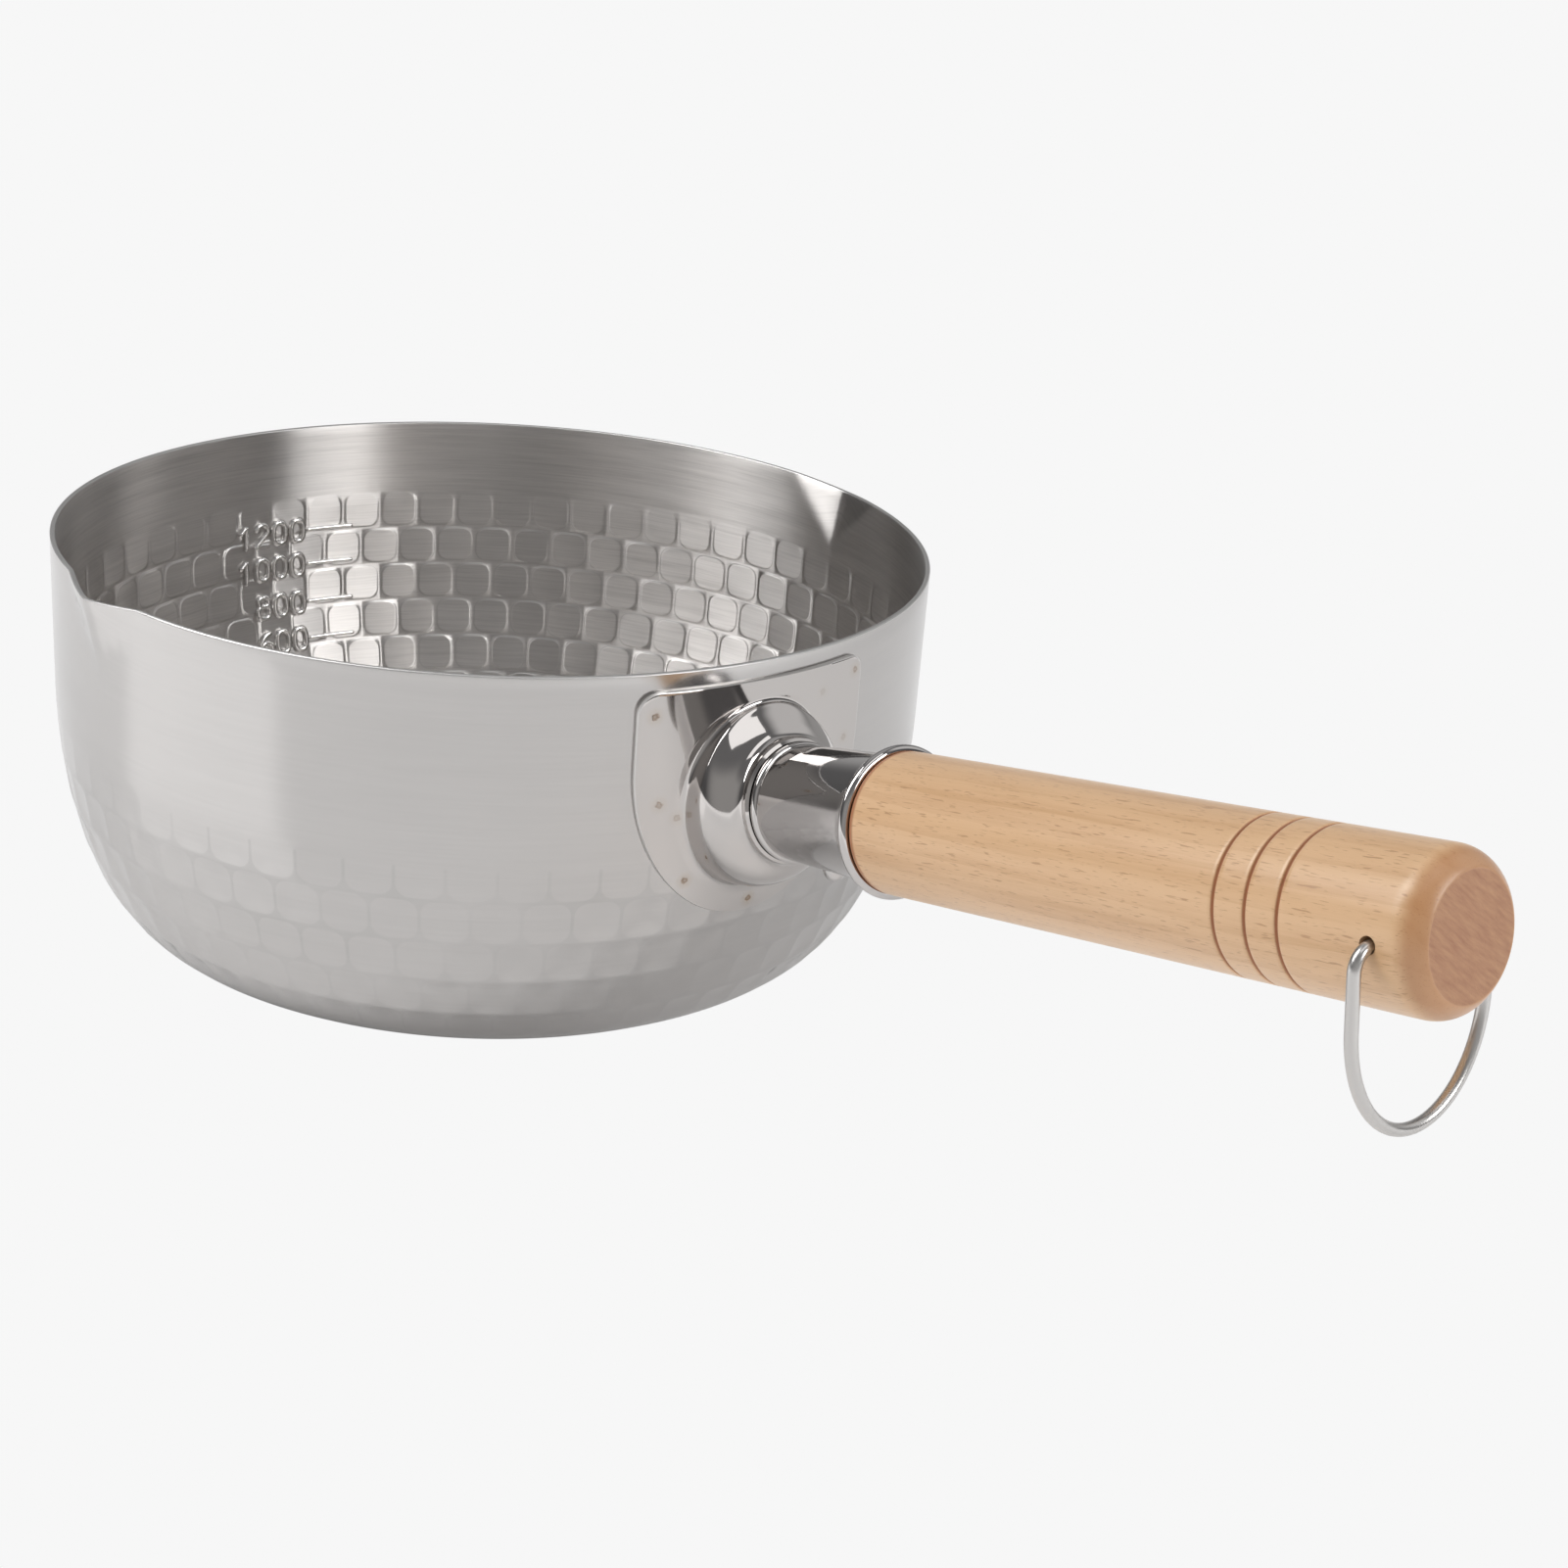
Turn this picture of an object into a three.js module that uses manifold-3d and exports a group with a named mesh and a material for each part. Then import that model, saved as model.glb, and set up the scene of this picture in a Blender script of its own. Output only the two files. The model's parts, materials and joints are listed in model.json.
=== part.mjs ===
// Noodle pot: a drawn steel bowl with two pouring lips, a pressed bracket, a socket tube,
// a turned wooden handle held by one screw, and a wire loop to hang it by.
// Millimetres, +Z up. The origin is the centre of the flat base and the handle runs along +X.

import * as THREE from "three";
import { mergeVertices } from "three/addons/utils/BufferGeometryUtils.js";
import Module from "manifold-3d";

// Bowl
const RIM_RADIUS = 90; // outside of the straight upper wall
const BOWL_HEIGHT = 81.2;
const BOWL_WALL = 1;
const BASE_RADIUS = 70; // flat part of the base, outside
const CORNER_HEIGHT = 50; // where the rounded lower wall meets the straight upper wall

// Pouring lips, one on each side of the handle
const LIP_ANGLE = 88; // degrees from the handle
const LIP_REACH = 2.6; // how far the tip stands out from the rim
const LIP_DIP = 1.2; // how far the tip sits below the rim
const LIP_HALF_WIDTH = 13; // along the rim
const LIP_DEPTH = 15; // how far the crease runs down the wall
const LIP_SOFTNESS = 2; // roundness of the crease, along the rim

// Bracket: a plate on the wall with a domed boss and a collar
const BRACKET_SHEET = 1;
const SEAT_GAP = 0.3; // between pieces that rest on each other
const RIM_TO_PLATE = 3.3; // rim to the plate's top edge
const BOSS_HALF_WIDTH = 17.2; // foot of the boss, where it leaves the plate
const BOSS_HALF_HEIGHT = 19.3;
const BOSS_RISE = 8.2; // height of the dome along the handle's axis
const BOSS_FOOT = 1.6; // round between plate and dome
const BOSS_CROWN = 1; // how far the flank bulges
const LAND_TOP = 3.8; // flat plate left above the boss
const LAND_SIDE = 9.1;
const LAND_BOTTOM = 4.8;
const PLATE_SHOULDER = 8; // above the handle's axis, where the straight sides end
const PLATE_CORNER = 4;
const COLLAR_LENGTH = 3.8; // upright lip above the dome
const COLLAR_ROUND = 1.9; // round between dome and collar

// Socket tube
const HANDLE_TILT = 13.2; // degrees above level
const TUBE_RADIUS = 10.6; // outside, at the collar
const TUBE_FLARE = 1; // growth of the radius up to the mouth
const TUBE_SHEET = 0.8;
const TUBE_LENGTH = 28.6; // from the collar's edge to the middle of the curl
const CURL_RADIUS = 1; // rolled bead round the mouth
const FLANGE_WIDTH = 1.4; // flange behind the collar
const SWAGE_HEIGHT = 0.6; // ring in front of the collar
const SWAGE_LENGTH = 1.8;

// Wooden handle
const HANDLE_RADIUS = 12.6; // at the mouth of the tube
const HANDLE_TAPER = 0.15; // loss of radius up to the end
const HANDLE_LENGTH = 116.4; // from the tube's mouth to the end
const TENON_LENGTH = 33; // inside the tube
const TENON_CHAMFER = 0.8;
const SHOULDER_ROUND = 0.8;
const END_ROUND = 5.4;
const END_TURN = 62; // degrees that the rounding turns before the flat end
const GROOVE_COUNT = 3;
const GROOVE_PITCH = 5.9;
const GROOVE_WIDTH = 0.9;
const GROOVE_DEPTH = 0.6;
const GROOVE_TO_END = 23.6; // from the last groove to the end
const HOLE_TO_END = 7.8; // from the cross hole to the end
const HOLE_GAP = 0.35; // round the wire

// Retaining screw, under the tube
const SCREW_RADIUS = 1.2;
const SCREW_LENGTH = 8; // below the head
const SCREW_HEAD_RADIUS = 2.2;
const SCREW_HEAD_HEIGHT = 1.3;
const SCREW_TO_MOUTH = 18.6;

// Hanging loop
const WIRE_RADIUS = 1;
const LOOP_SIDE_GAP = 1.4; // between the handle and each leg
const LOOP_DROP = 29.6; // from the cross hole to the wire at the bottom
const LOOP_LEG = 11.7; // from the cross hole to where the legs start to curve in
const LOOP_BEND = 3.2; // radius of the bends at the hole
const LOOP_INSERT = 6; // wire inside the hole, each side
const LOOP_SWING = 8.9; // degrees out from plumb, as it rests

// Fineness of the facets
const BOWL_SIDES = 90; // puts an edge of the facets on each lip's crease
const BRACKET_SIDES = 56;
const TURNED_SIDES = 40;
const SCREW_SIDES = 16;
const WIRE_SIDES = 10;
const WIRE_STEPS = 56;
const CORNER_STEPS = 8;
const LIP_STEPS = 4;
const CURVE_STEPS = 4;
const ROUND_STEPS = 4;

// Places that follow from the sizes. Stations run along the handle's axis, from the wall outwards.
const tilt = THREE.MathUtils.degToRad(HANDLE_TILT);
const plateTop = BOWL_HEIGHT - RIM_TO_PLATE;
const axisHeight = plateTop - LAND_TOP - BOSS_HALF_HEIGHT;
const plateBottom = axisHeight - BOSS_HALF_HEIGHT - LAND_BOTTOM;
const plateHalfWidth = BOSS_HALF_WIDTH + LAND_SIDE;
const collarBore = TUBE_RADIUS + SEAT_GAP;
const collarEdge = BOSS_RISE + COLLAR_LENGTH;
const mouth = collarEdge + TUBE_LENGTH;
const shoulder = mouth + CURL_RADIUS + SEAT_GAP;
const handleEnd = shoulder + HANDLE_LENGTH;
const holeStation = handleEnd - HOLE_TO_END;
const screwStation = mouth - SCREW_TO_MOUTH;
const holeRadius = WIRE_RADIUS + HOLE_GAP;
const axisStart = new THREE.Vector3(wallRadius(axisHeight), 0, axisHeight);
const axisDirection = new THREE.Vector3(Math.cos(tilt), 0, Math.sin(tilt));

const wasm = await Module();
wasm.setup();

// Outside radius of the bowl at a height: straight above the corner, a quarter ellipse below it.
function wallRadius(z) {
  const below = THREE.MathUtils.clamp((CORNER_HEIGHT - z) / CORNER_HEIGHT, 0, 1);
  return BASE_RADIUS + (RIM_RADIUS - BASE_RADIUS) * Math.sqrt(1 - below * below);
}

// Outside radius of the socket tube at a station.
function tubeRadius(station) {
  return TUBE_RADIUS + (TUBE_FLARE * (station - collarEdge)) / TUBE_LENGTH;
}

// Radius of the handle at a station in front of the tube.
function handleRadius(station) {
  return HANDLE_RADIUS - (HANDLE_TAPER * (station - shoulder)) / HANDLE_LENGTH;
}

// Points of an arc about (x, y), from one angle to another in degrees, both ends included.
function arc(x, y, radius, from, to, steps = ROUND_STEPS) {
  return Array.from({ length: steps + 1 }, (_, i) => {
    const angle = THREE.MathUtils.degToRad(from + ((to - from) * i) / steps);
    return new THREE.Vector2(x + radius * Math.cos(angle), y + radius * Math.sin(angle));
  });
}

// A regular polygon that stands for a circle.
function circle(radius, sides) {
  return new THREE.Shape(arc(0, 0, radius, 0, 360 - 360 / sides, sides - 1));
}

// Closed mesh data with shared vertices, without the zero-area faces that a lathe leaves on its axis.
function weld(geometry) {
  const bare = new THREE.BufferGeometry();
  bare.setAttribute("position", geometry.getAttribute("position"));
  bare.setIndex(geometry.index);
  const merged = mergeVertices(bare, 1e-4);
  const kept = [];
  for (let i = 0; i < merged.index.count; i += 3) {
    const [a, b, c] = [0, 1, 2].map((k) => merged.index.getX(i + k));
    if (a !== b && b !== c && c !== a) kept.push(a, b, c);
  }
  merged.setIndex(kept);
  return merged;
}

function toSolid(geometry) {
  const closed = weld(geometry);
  const vertProperties = new Float32Array(closed.getAttribute("position").array);
  const triVerts = new Uint32Array(closed.index.array);
  return new wasm.Manifold(new wasm.Mesh({ numProp: 3, vertProperties, triVerts }));
}

// A geometry with other geometries cut out of it.
function cut(geometry, ...tools) {
  const left = tools.reduce((solid, tool) => solid.subtract(toSolid(tool)), toSolid(geometry));
  const mesh = left.getMesh();
  const result = new THREE.BufferGeometry();
  result.setAttribute("position", new THREE.BufferAttribute(mesh.vertProperties, mesh.numProp));
  result.setIndex(new THREE.BufferAttribute(mesh.triVerts, 1));
  return result;
}

// A profile of (radius, height) points turned about +Z, from +X round. Going up the outside, it faces out.
function turned(profile, sides) {
  return weld(new THREE.LatheGeometry(profile, sides).rotateX(Math.PI / 2).rotateZ(Math.PI / 2));
}

// A bar of round section along +Z, from one height to another.
function rod(radius, sides, from, to) {
  const options = { depth: to - from, bevelEnabled: false };
  return new THREE.ExtrudeGeometry(circle(radius, sides), options).translate(0, 0, from);
}

function piece(name, geometry, material) {
  geometry.deleteAttribute("normal");
  const mesh = new THREE.Mesh(geometry, material);
  geometry.computeVertexNormals();
  mesh.name = name;
  return mesh;
}

// Bowl

// Size of the pouring lip at a place on the wall: 1 at the tip of a lip, 0 off the lips.
// The lip is a V that narrows to a point at its lower end.
function lipShare(angle, z) {
  const size = 1 - (BOWL_HEIGHT - z) / LIP_DEPTH;
  if (size <= 0) return 0;
  const offAxis = Math.abs(Math.abs(angle) - THREE.MathUtils.degToRad(LIP_ANGLE));
  const along = (offAxis * RIM_RADIUS) / size;
  const fall = Math.hypot(along, LIP_SOFTNESS) - LIP_SOFTNESS;
  return size * Math.max(0, 1 - fall / LIP_HALF_WIDTH);
}

function pressLips(geometry) {
  const position = geometry.getAttribute("position");
  for (let i = 0; i < position.count; i++) {
    const [x, y, z] = [position.getX(i), position.getY(i), position.getZ(i)];
    const share = lipShare(Math.atan2(y, x), z);
    const radius = Math.hypot(x, y);
    const grow = radius > 0 ? 1 + (LIP_REACH * share) / radius : 1;
    position.setXYZ(i, x * grow, y * grow, z - LIP_DIP * share);
  }
  return geometry;
}

function bowlGeometry() {
  const heights = [];
  for (let i = 0; i <= LIP_STEPS; i++) heights.push(BOWL_HEIGHT - (LIP_DEPTH * i) / LIP_STEPS);
  // One side of the sheet, from the middle of the base to the rim, set in by a thickness.
  const side = (inset) => {
    const points = [new THREE.Vector2(0, inset)];
    for (let i = 0; i <= CORNER_STEPS; i++) {
      const angle = (Math.PI / 2) * (1 - i / CORNER_STEPS);
      const radius = BASE_RADIUS + (RIM_RADIUS - inset - BASE_RADIUS) * Math.cos(angle);
      points.push(new THREE.Vector2(radius, CORNER_HEIGHT - (CORNER_HEIGHT - inset) * Math.sin(angle)));
    }
    const above = heights.filter((z) => z > CORNER_HEIGHT).reverse();
    return points.concat(above.map((z) => new THREE.Vector2(RIM_RADIUS - inset, z)));
  };
  return pressLips(turned([...side(0), ...side(BOWL_WALL).reverse()], BOWL_SIDES));
}

// Bracket

// Outline of the plate laid flat: x runs round the wall, y is the height above the handle's axis.
function plateOutline() {
  const top = plateTop - axisHeight;
  const inner = plateHalfWidth - PLATE_CORNER;
  const depth = PLATE_SHOULDER + axisHeight - plateBottom;
  const outline = new THREE.Path();
  outline.moveTo(plateHalfWidth, PLATE_SHOULDER);
  outline.absarc(inner, top - PLATE_CORNER, PLATE_CORNER, 0, Math.PI / 2);
  outline.absarc(-inner, top - PLATE_CORNER, PLATE_CORNER, Math.PI / 2, Math.PI);
  outline.absellipse(0, PLATE_SHOULDER, plateHalfWidth, depth, Math.PI, 2 * Math.PI);
  return outline.getSpacedPoints(BRACKET_SIDES).slice(0, BRACKET_SIDES);
}

// Profile of the dome and collar on the wall side: x is the distance from the axis, y the rise along it.
function bossProfile() {
  const crown = new THREE.Vector2(collarBore + COLLAR_ROUND, BOSS_RISE);
  const flank = new THREE.Vector2(BOSS_HALF_HEIGHT - BOSS_FOOT, BOSS_FOOT / 2);
  const slope = crown.clone().sub(flank).normalize();
  const outward = new THREE.Vector2(slope.y, -slope.x);
  const bulge = flank.clone().lerp(crown, 0.5).addScaledVector(outward, 2 * BOSS_CROWN);
  const profile = new THREE.Path();
  profile.moveTo(BOSS_HALF_HEIGHT, 0);
  profile.quadraticCurveTo(flank.x + BOSS_FOOT / 4, 0, flank.x, flank.y);
  profile.quadraticCurveTo(bulge.x, bulge.y, crown.x, crown.y);
  profile.quadraticCurveTo(collarBore, BOSS_RISE, collarBore, BOSS_RISE + COLLAR_ROUND);
  profile.lineTo(collarBore, collarEdge);
  return profile.getPoints(CURVE_STEPS);
}

// A place on the plate's wall side: round the wall by an arc, above the axis by a rise.
function onPlate(round, rise) {
  const z = axisHeight + rise;
  const radius = wallRadius(z) + SEAT_GAP;
  const angle = round / RIM_RADIUS;
  return new THREE.Vector3(radius * Math.cos(angle), radius * Math.sin(angle), z);
}

// A place on the boss's wall side. The foot is an oval on the wall, and the rings above it round out
// and lean over until the collar stands square to the handle's axis.
function onBoss(distance, rise, angle) {
  const lean = THREE.MathUtils.smoothstep(rise / BOSS_RISE, 0, 1);
  const squeeze = THREE.MathUtils.lerp(BOSS_HALF_WIDTH / BOSS_HALF_HEIGHT, 1, lean);
  const across = distance * squeeze * Math.cos(angle);
  const up = distance * Math.sin(angle);
  const wall = onPlate(across, up);
  const offFlat = (wall.x - axisStart.x) * (1 - lean);
  return axisStart
    .clone()
    .addScaledVector(axisDirection, rise)
    .add(new THREE.Vector3(offFlat - up * Math.sin(tilt * lean), across, up * Math.cos(tilt * lean)));
}

// A sheet of even thickness over a grid of rings, closed along its outer and inner edges.
function sheetGeometry(rings, thickness) {
  const sides = rings[0].length;
  const grid = new THREE.BufferGeometry().setFromPoints(rings.flat());
  const at = (ring, i) => ring * sides + (i % sides);
  const faces = [];
  for (let ring = 0; ring + 1 < rings.length; ring++) {
    for (let i = 0; i < sides; i++) {
      const [a, b, c, d] = [at(ring, i), at(ring, i + 1), at(ring + 1, i + 1), at(ring + 1, i)];
      faces.push(a, b, c, a, c, d);
    }
  }
  grid.setIndex(faces);
  grid.computeVertexNormals();
  const near = grid.getAttribute("position");
  const normal = grid.getAttribute("normal");
  const points = [];
  for (const offset of [0, thickness]) {
    for (let i = 0; i < near.count; i++) {
      const point = new THREE.Vector3().fromBufferAttribute(near, i);
      points.push(point.addScaledVector(new THREE.Vector3().fromBufferAttribute(normal, i), offset));
    }
  }
  const closed = faces.map((v) => v + near.count);
  for (let i = 0; i < faces.length; i += 3) closed.push(faces[i], faces[i + 2], faces[i + 1]);
  for (const [ring, flip] of [[0, false], [rings.length - 1, true]]) {
    for (let i = 0; i < sides; i++) {
      const [a, b] = flip ? [at(ring, i + 1), at(ring, i)] : [at(ring, i), at(ring, i + 1)];
      closed.push(a, b, b + near.count, a, b + near.count, a + near.count);
    }
  }
  return new THREE.BufferGeometry().setFromPoints(points).setIndex(closed);
}

function bracketGeometry() {
  const outline = plateOutline();
  const oval = new THREE.Vector2(BOSS_HALF_WIDTH, BOSS_HALF_HEIGHT);
  const angles = outline.map((p) => p.clone().divide(oval).angle());
  const foot = angles.map((a) => new THREE.Vector2(Math.cos(a), Math.sin(a)).multiply(oval));
  const rings = [0, 0.5].map((share) =>
    outline.map((p, i) => {
      const place = p.clone().lerp(foot[i], share);
      return onPlate(place.x, place.y);
    }),
  );
  for (const p of bossProfile()) rings.push(angles.map((angle) => onBoss(p.x, p.y, angle)));
  return sheetGeometry(rings, BRACKET_SHEET);
}

// Socket tube, handle and screw, each with the handle's axis as its own +Z

function tubeGeometry() {
  const flangeTop = BOSS_RISE - SEAT_GAP;
  const flangeBack = flangeTop - TUBE_SHEET;
  const swageStart = collarEdge + SEAT_GAP;
  const swageEnd = swageStart + SWAGE_LENGTH;
  const curlMiddle = tubeRadius(mouth) + CURL_RADIUS;
  const bore = (station) => tubeRadius(station) - TUBE_SHEET;
  const at = (radius, station) => new THREE.Vector2(radius, station);
  const swage = arc(0, 0, 1, 0, 180).map((p) =>
    at(tubeRadius(swageStart) + SWAGE_HEIGHT * p.y, swageStart + (SWAGE_LENGTH * (1 - p.x)) / 2),
  );
  const profile = [
    at(bore(flangeBack), flangeBack),
    at(collarBore + FLANGE_WIDTH, flangeBack),
    at(collarBore + FLANGE_WIDTH, flangeTop),
    at(tubeRadius(flangeTop), flangeTop),
    ...swage,
    at(tubeRadius(swageEnd), swageEnd + TUBE_SHEET),
    at(tubeRadius(mouth - 2 * CURL_RADIUS), mouth - 2 * CURL_RADIUS),
    ...arc(curlMiddle, mouth, CURL_RADIUS, -135, 180, 2 * ROUND_STEPS),
    at(bore(mouth), mouth),
  ];
  profile.push(profile[0].clone());
  return cut(turned(profile, TURNED_SIDES), screwHole());
}

function handleGeometry() {
  const at = (radius, station) => new THREE.Vector2(radius, station);
  const tenon = (station) => tubeRadius(station) - TUBE_SHEET - SEAT_GAP;
  const tenonStart = shoulder - TENON_LENGTH;
  const profile = [
    at(0, tenonStart),
    at(tenon(tenonStart) - TENON_CHAMFER, tenonStart),
    at(tenon(tenonStart + TENON_CHAMFER), tenonStart + TENON_CHAMFER),
    at(tenon(mouth), shoulder),
    ...arc(HANDLE_RADIUS - SHOULDER_ROUND, shoulder + SHOULDER_ROUND, SHOULDER_ROUND, -90, 0),
  ];
  for (let i = GROOVE_COUNT - 1; i >= 0; i--) {
    const station = handleEnd - GROOVE_TO_END - i * GROOVE_PITCH;
    profile.push(at(handleRadius(station), station - GROOVE_WIDTH / 2));
    profile.push(at(handleRadius(station) - GROOVE_DEPTH, station));
    profile.push(at(handleRadius(station), station + GROOVE_WIDTH / 2));
  }
  const endStart = handleEnd - END_ROUND * Math.sin(THREE.MathUtils.degToRad(END_TURN));
  profile.push(...arc(handleRadius(handleEnd) - END_ROUND, endStart, END_ROUND, 0, END_TURN));
  profile.push(at(0, handleEnd));
  const reach = 2 * HANDLE_RADIUS;
  const crossHole = rod(holeRadius, TURNED_SIDES / 2, -reach, reach)
    .rotateX(Math.PI / 2)
    .translate(0, 0, holeStation);
  return cut(turned(profile, TURNED_SIDES), crossHole, screwHole());
}

// The screw comes in from below, which is +X in the handle's own frame.
function screwSeat() {
  return tubeRadius(screwStation) + SEAT_GAP;
}

function underTube(geometry) {
  return geometry.rotateY(Math.PI / 2).translate(screwSeat(), 0, screwStation);
}

function screwHole() {
  const clear = SCREW_RADIUS + SEAT_GAP;
  return underTube(rod(clear, SCREW_SIDES, -SCREW_LENGTH - SEAT_GAP, SCREW_HEAD_HEIGHT));
}

function screwGeometry() {
  const dome = arc(0, 0, 1, 0, 90).map(
    (p) => new THREE.Vector2(SCREW_HEAD_RADIUS * p.x, SCREW_HEAD_HEIGHT * p.y),
  );
  const profile = [
    new THREE.Vector2(0, -SCREW_LENGTH),
    new THREE.Vector2(SCREW_RADIUS, SCREW_RADIUS - SCREW_LENGTH),
    new THREE.Vector2(SCREW_RADIUS, 0),
    ...dome,
  ];
  return underTube(turned(profile, SCREW_SIDES));
}

// Hanging loop

// A flat path stood up in the plane x = 0, its own y pointing down.
class HungPath extends THREE.Curve {
  constructor(path) {
    super();
    this.path = path;
  }
  getPoint(t, target = new THREE.Vector3()) {
    const p = this.path.getPoint(t);
    return target.set(0, p.x, -p.y);
  }
}

function loopGeometry() {
  const side = HANDLE_RADIUS + LOOP_SIDE_GAP + WIRE_RADIUS;
  const inside = HANDLE_RADIUS - LOOP_INSERT;
  const bend = side - LOOP_BEND;
  const wire = new THREE.Path();
  wire.moveTo(-inside, 0);
  wire.lineTo(-bend, 0);
  wire.absarc(-bend, LOOP_BEND, LOOP_BEND, -Math.PI / 2, -Math.PI, true);
  wire.lineTo(-side, LOOP_LEG);
  wire.absellipse(0, LOOP_LEG, side, LOOP_DROP - LOOP_LEG, Math.PI, 0, true);
  wire.lineTo(side, LOOP_BEND);
  wire.absarc(bend, LOOP_BEND, LOOP_BEND, 0, -Math.PI / 2, true);
  wire.lineTo(inside, 0);
  const options = { steps: WIRE_STEPS, extrudePath: new HungPath(wire), bevelEnabled: false };
  return new THREE.ExtrudeGeometry(circle(WIRE_RADIUS, WIRE_SIDES), options);
}

// Assembly

const satinSteel = new THREE.MeshStandardMaterial({ color: 0xc9c7c4, roughness: 0.32, metalness: 1 });
const mirrorSteel = new THREE.MeshStandardMaterial({ color: 0xd4d2cf, roughness: 0.08, metalness: 1 });
const wireSteel = new THREE.MeshStandardMaterial({ color: 0xc4c2be, roughness: 0.2, metalness: 1 });
const beech = new THREE.MeshStandardMaterial({ color: 0xd6b084, roughness: 0.45, metalness: 0 });

const handle = new THREE.Group();
handle.position.copy(axisStart);
handle.rotation.y = Math.PI / 2 - tilt;
handle.add(piece("socket_tube", tubeGeometry(), mirrorSteel));
handle.add(piece("wooden_handle", handleGeometry(), beech));
handle.add(piece("retaining_screw", screwGeometry(), mirrorSteel));

const hangingLoop = piece("hanging_loop", loopGeometry(), wireSteel);
hangingLoop.position.copy(axisStart).addScaledVector(axisDirection, holeStation);
hangingLoop.rotation.y = -THREE.MathUtils.degToRad(LOOP_SWING);

const noodlePot = new THREE.Group();
noodlePot.add(piece("pot_body", bowlGeometry(), satinSteel));
noodlePot.add(piece("handle_bracket", bracketGeometry(), mirrorSteel));
noodlePot.add(handle);
noodlePot.add(hangingLoop);

export default noodlePot;
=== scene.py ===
"""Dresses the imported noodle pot: a hammered steel bowl, a polished bracket and a beech handle.

Sizes are millimetres, and meshes are turned into metres when they are made. A station is a place along
the handle's axis, counted from the bowl's wall. A run is a distance from the rim, down along the wall.
"""

from __future__ import annotations

import json
import logging
import math
from dataclasses import dataclass, replace
from enum import Enum
from typing import Any, Callable, NamedTuple, Sequence, Union

import bmesh
import bpy
import numpy as np
from mathutils import Matrix, Vector

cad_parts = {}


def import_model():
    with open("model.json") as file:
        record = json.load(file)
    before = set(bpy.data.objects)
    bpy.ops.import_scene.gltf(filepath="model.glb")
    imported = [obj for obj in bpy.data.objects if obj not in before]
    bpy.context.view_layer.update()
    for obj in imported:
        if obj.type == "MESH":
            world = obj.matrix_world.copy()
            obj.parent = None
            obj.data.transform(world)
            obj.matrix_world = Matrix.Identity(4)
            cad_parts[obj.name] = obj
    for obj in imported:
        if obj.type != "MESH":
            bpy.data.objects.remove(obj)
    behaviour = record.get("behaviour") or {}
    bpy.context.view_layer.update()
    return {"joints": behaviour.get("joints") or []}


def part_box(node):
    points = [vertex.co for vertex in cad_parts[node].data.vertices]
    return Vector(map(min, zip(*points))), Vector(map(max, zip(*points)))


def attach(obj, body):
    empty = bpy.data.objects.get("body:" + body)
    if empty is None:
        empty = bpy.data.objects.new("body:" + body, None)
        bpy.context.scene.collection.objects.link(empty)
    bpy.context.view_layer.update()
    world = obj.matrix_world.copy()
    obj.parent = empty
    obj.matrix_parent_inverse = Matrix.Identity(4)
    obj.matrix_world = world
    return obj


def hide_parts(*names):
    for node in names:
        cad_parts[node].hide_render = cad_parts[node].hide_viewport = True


MM = 0.001
SHARP_ANGLE = math.radians(50)
MIDDLE = 0.5  # the value that a noise swings about
WIRE_DOME = np.radians([80, 55, 28])  # the rings over a wire's end
ASIDE = (0.36, 0.48, 0.8)  # a direction that no wire starts in
TINY = 1e-6
GUARD = 1e-12  # keeps a length from being 0
LOG = logging.getLogger("noodle_pot")

Colour = tuple[float, float, float, float]
Pair = tuple[float, float]
Direction = tuple[float, float, float]
Place = tuple["Shade", "Shade", "Shade"]
Value = Union["Shade", float, Sequence[float]]


class Body(Enum):
    """The bodies of the frame that pieces ride on."""

    POT = "pot"
    LOOP = "loop"


class Slot(Enum):
    """The record's material slots."""

    BOWL = "bowl_steel"
    BRACKET = "bracket_steel"
    BEECH = "beech"
    WIRE = "wire_steel"


class Face(Enum):
    """Which of the bowl's finishes a face takes, as the place of its material on the mesh."""

    OUTSIDE = 0
    EDGE = 1
    INSIDE = 2
    # The groove and seam faces take darker finishes: painted shade along the marks' outlines.
    GROOVE = 3
    SEAM = 4


class PlateFace(Enum):
    """Which of the bracket's finishes a face takes, as the place of its material on the mesh."""

    POLISH = 0
    EDGE = 1


# Shader maths


def operator(operation: str, reflected: bool = False) -> Callable[[Shade, Value], Shade]:
    """Makes an operator of Shade.

    Args:
        operation: the Math node's operation.
        reflected: whether the shade stands second.

    Returns:
        The operator's method.
    """

    def method(self: Shade, other: Value) -> Shade:
        """Adds the Math node."""
        return self.bench.maths(operation, *((other, self) if reflected else (self, other)))

    return method


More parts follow.
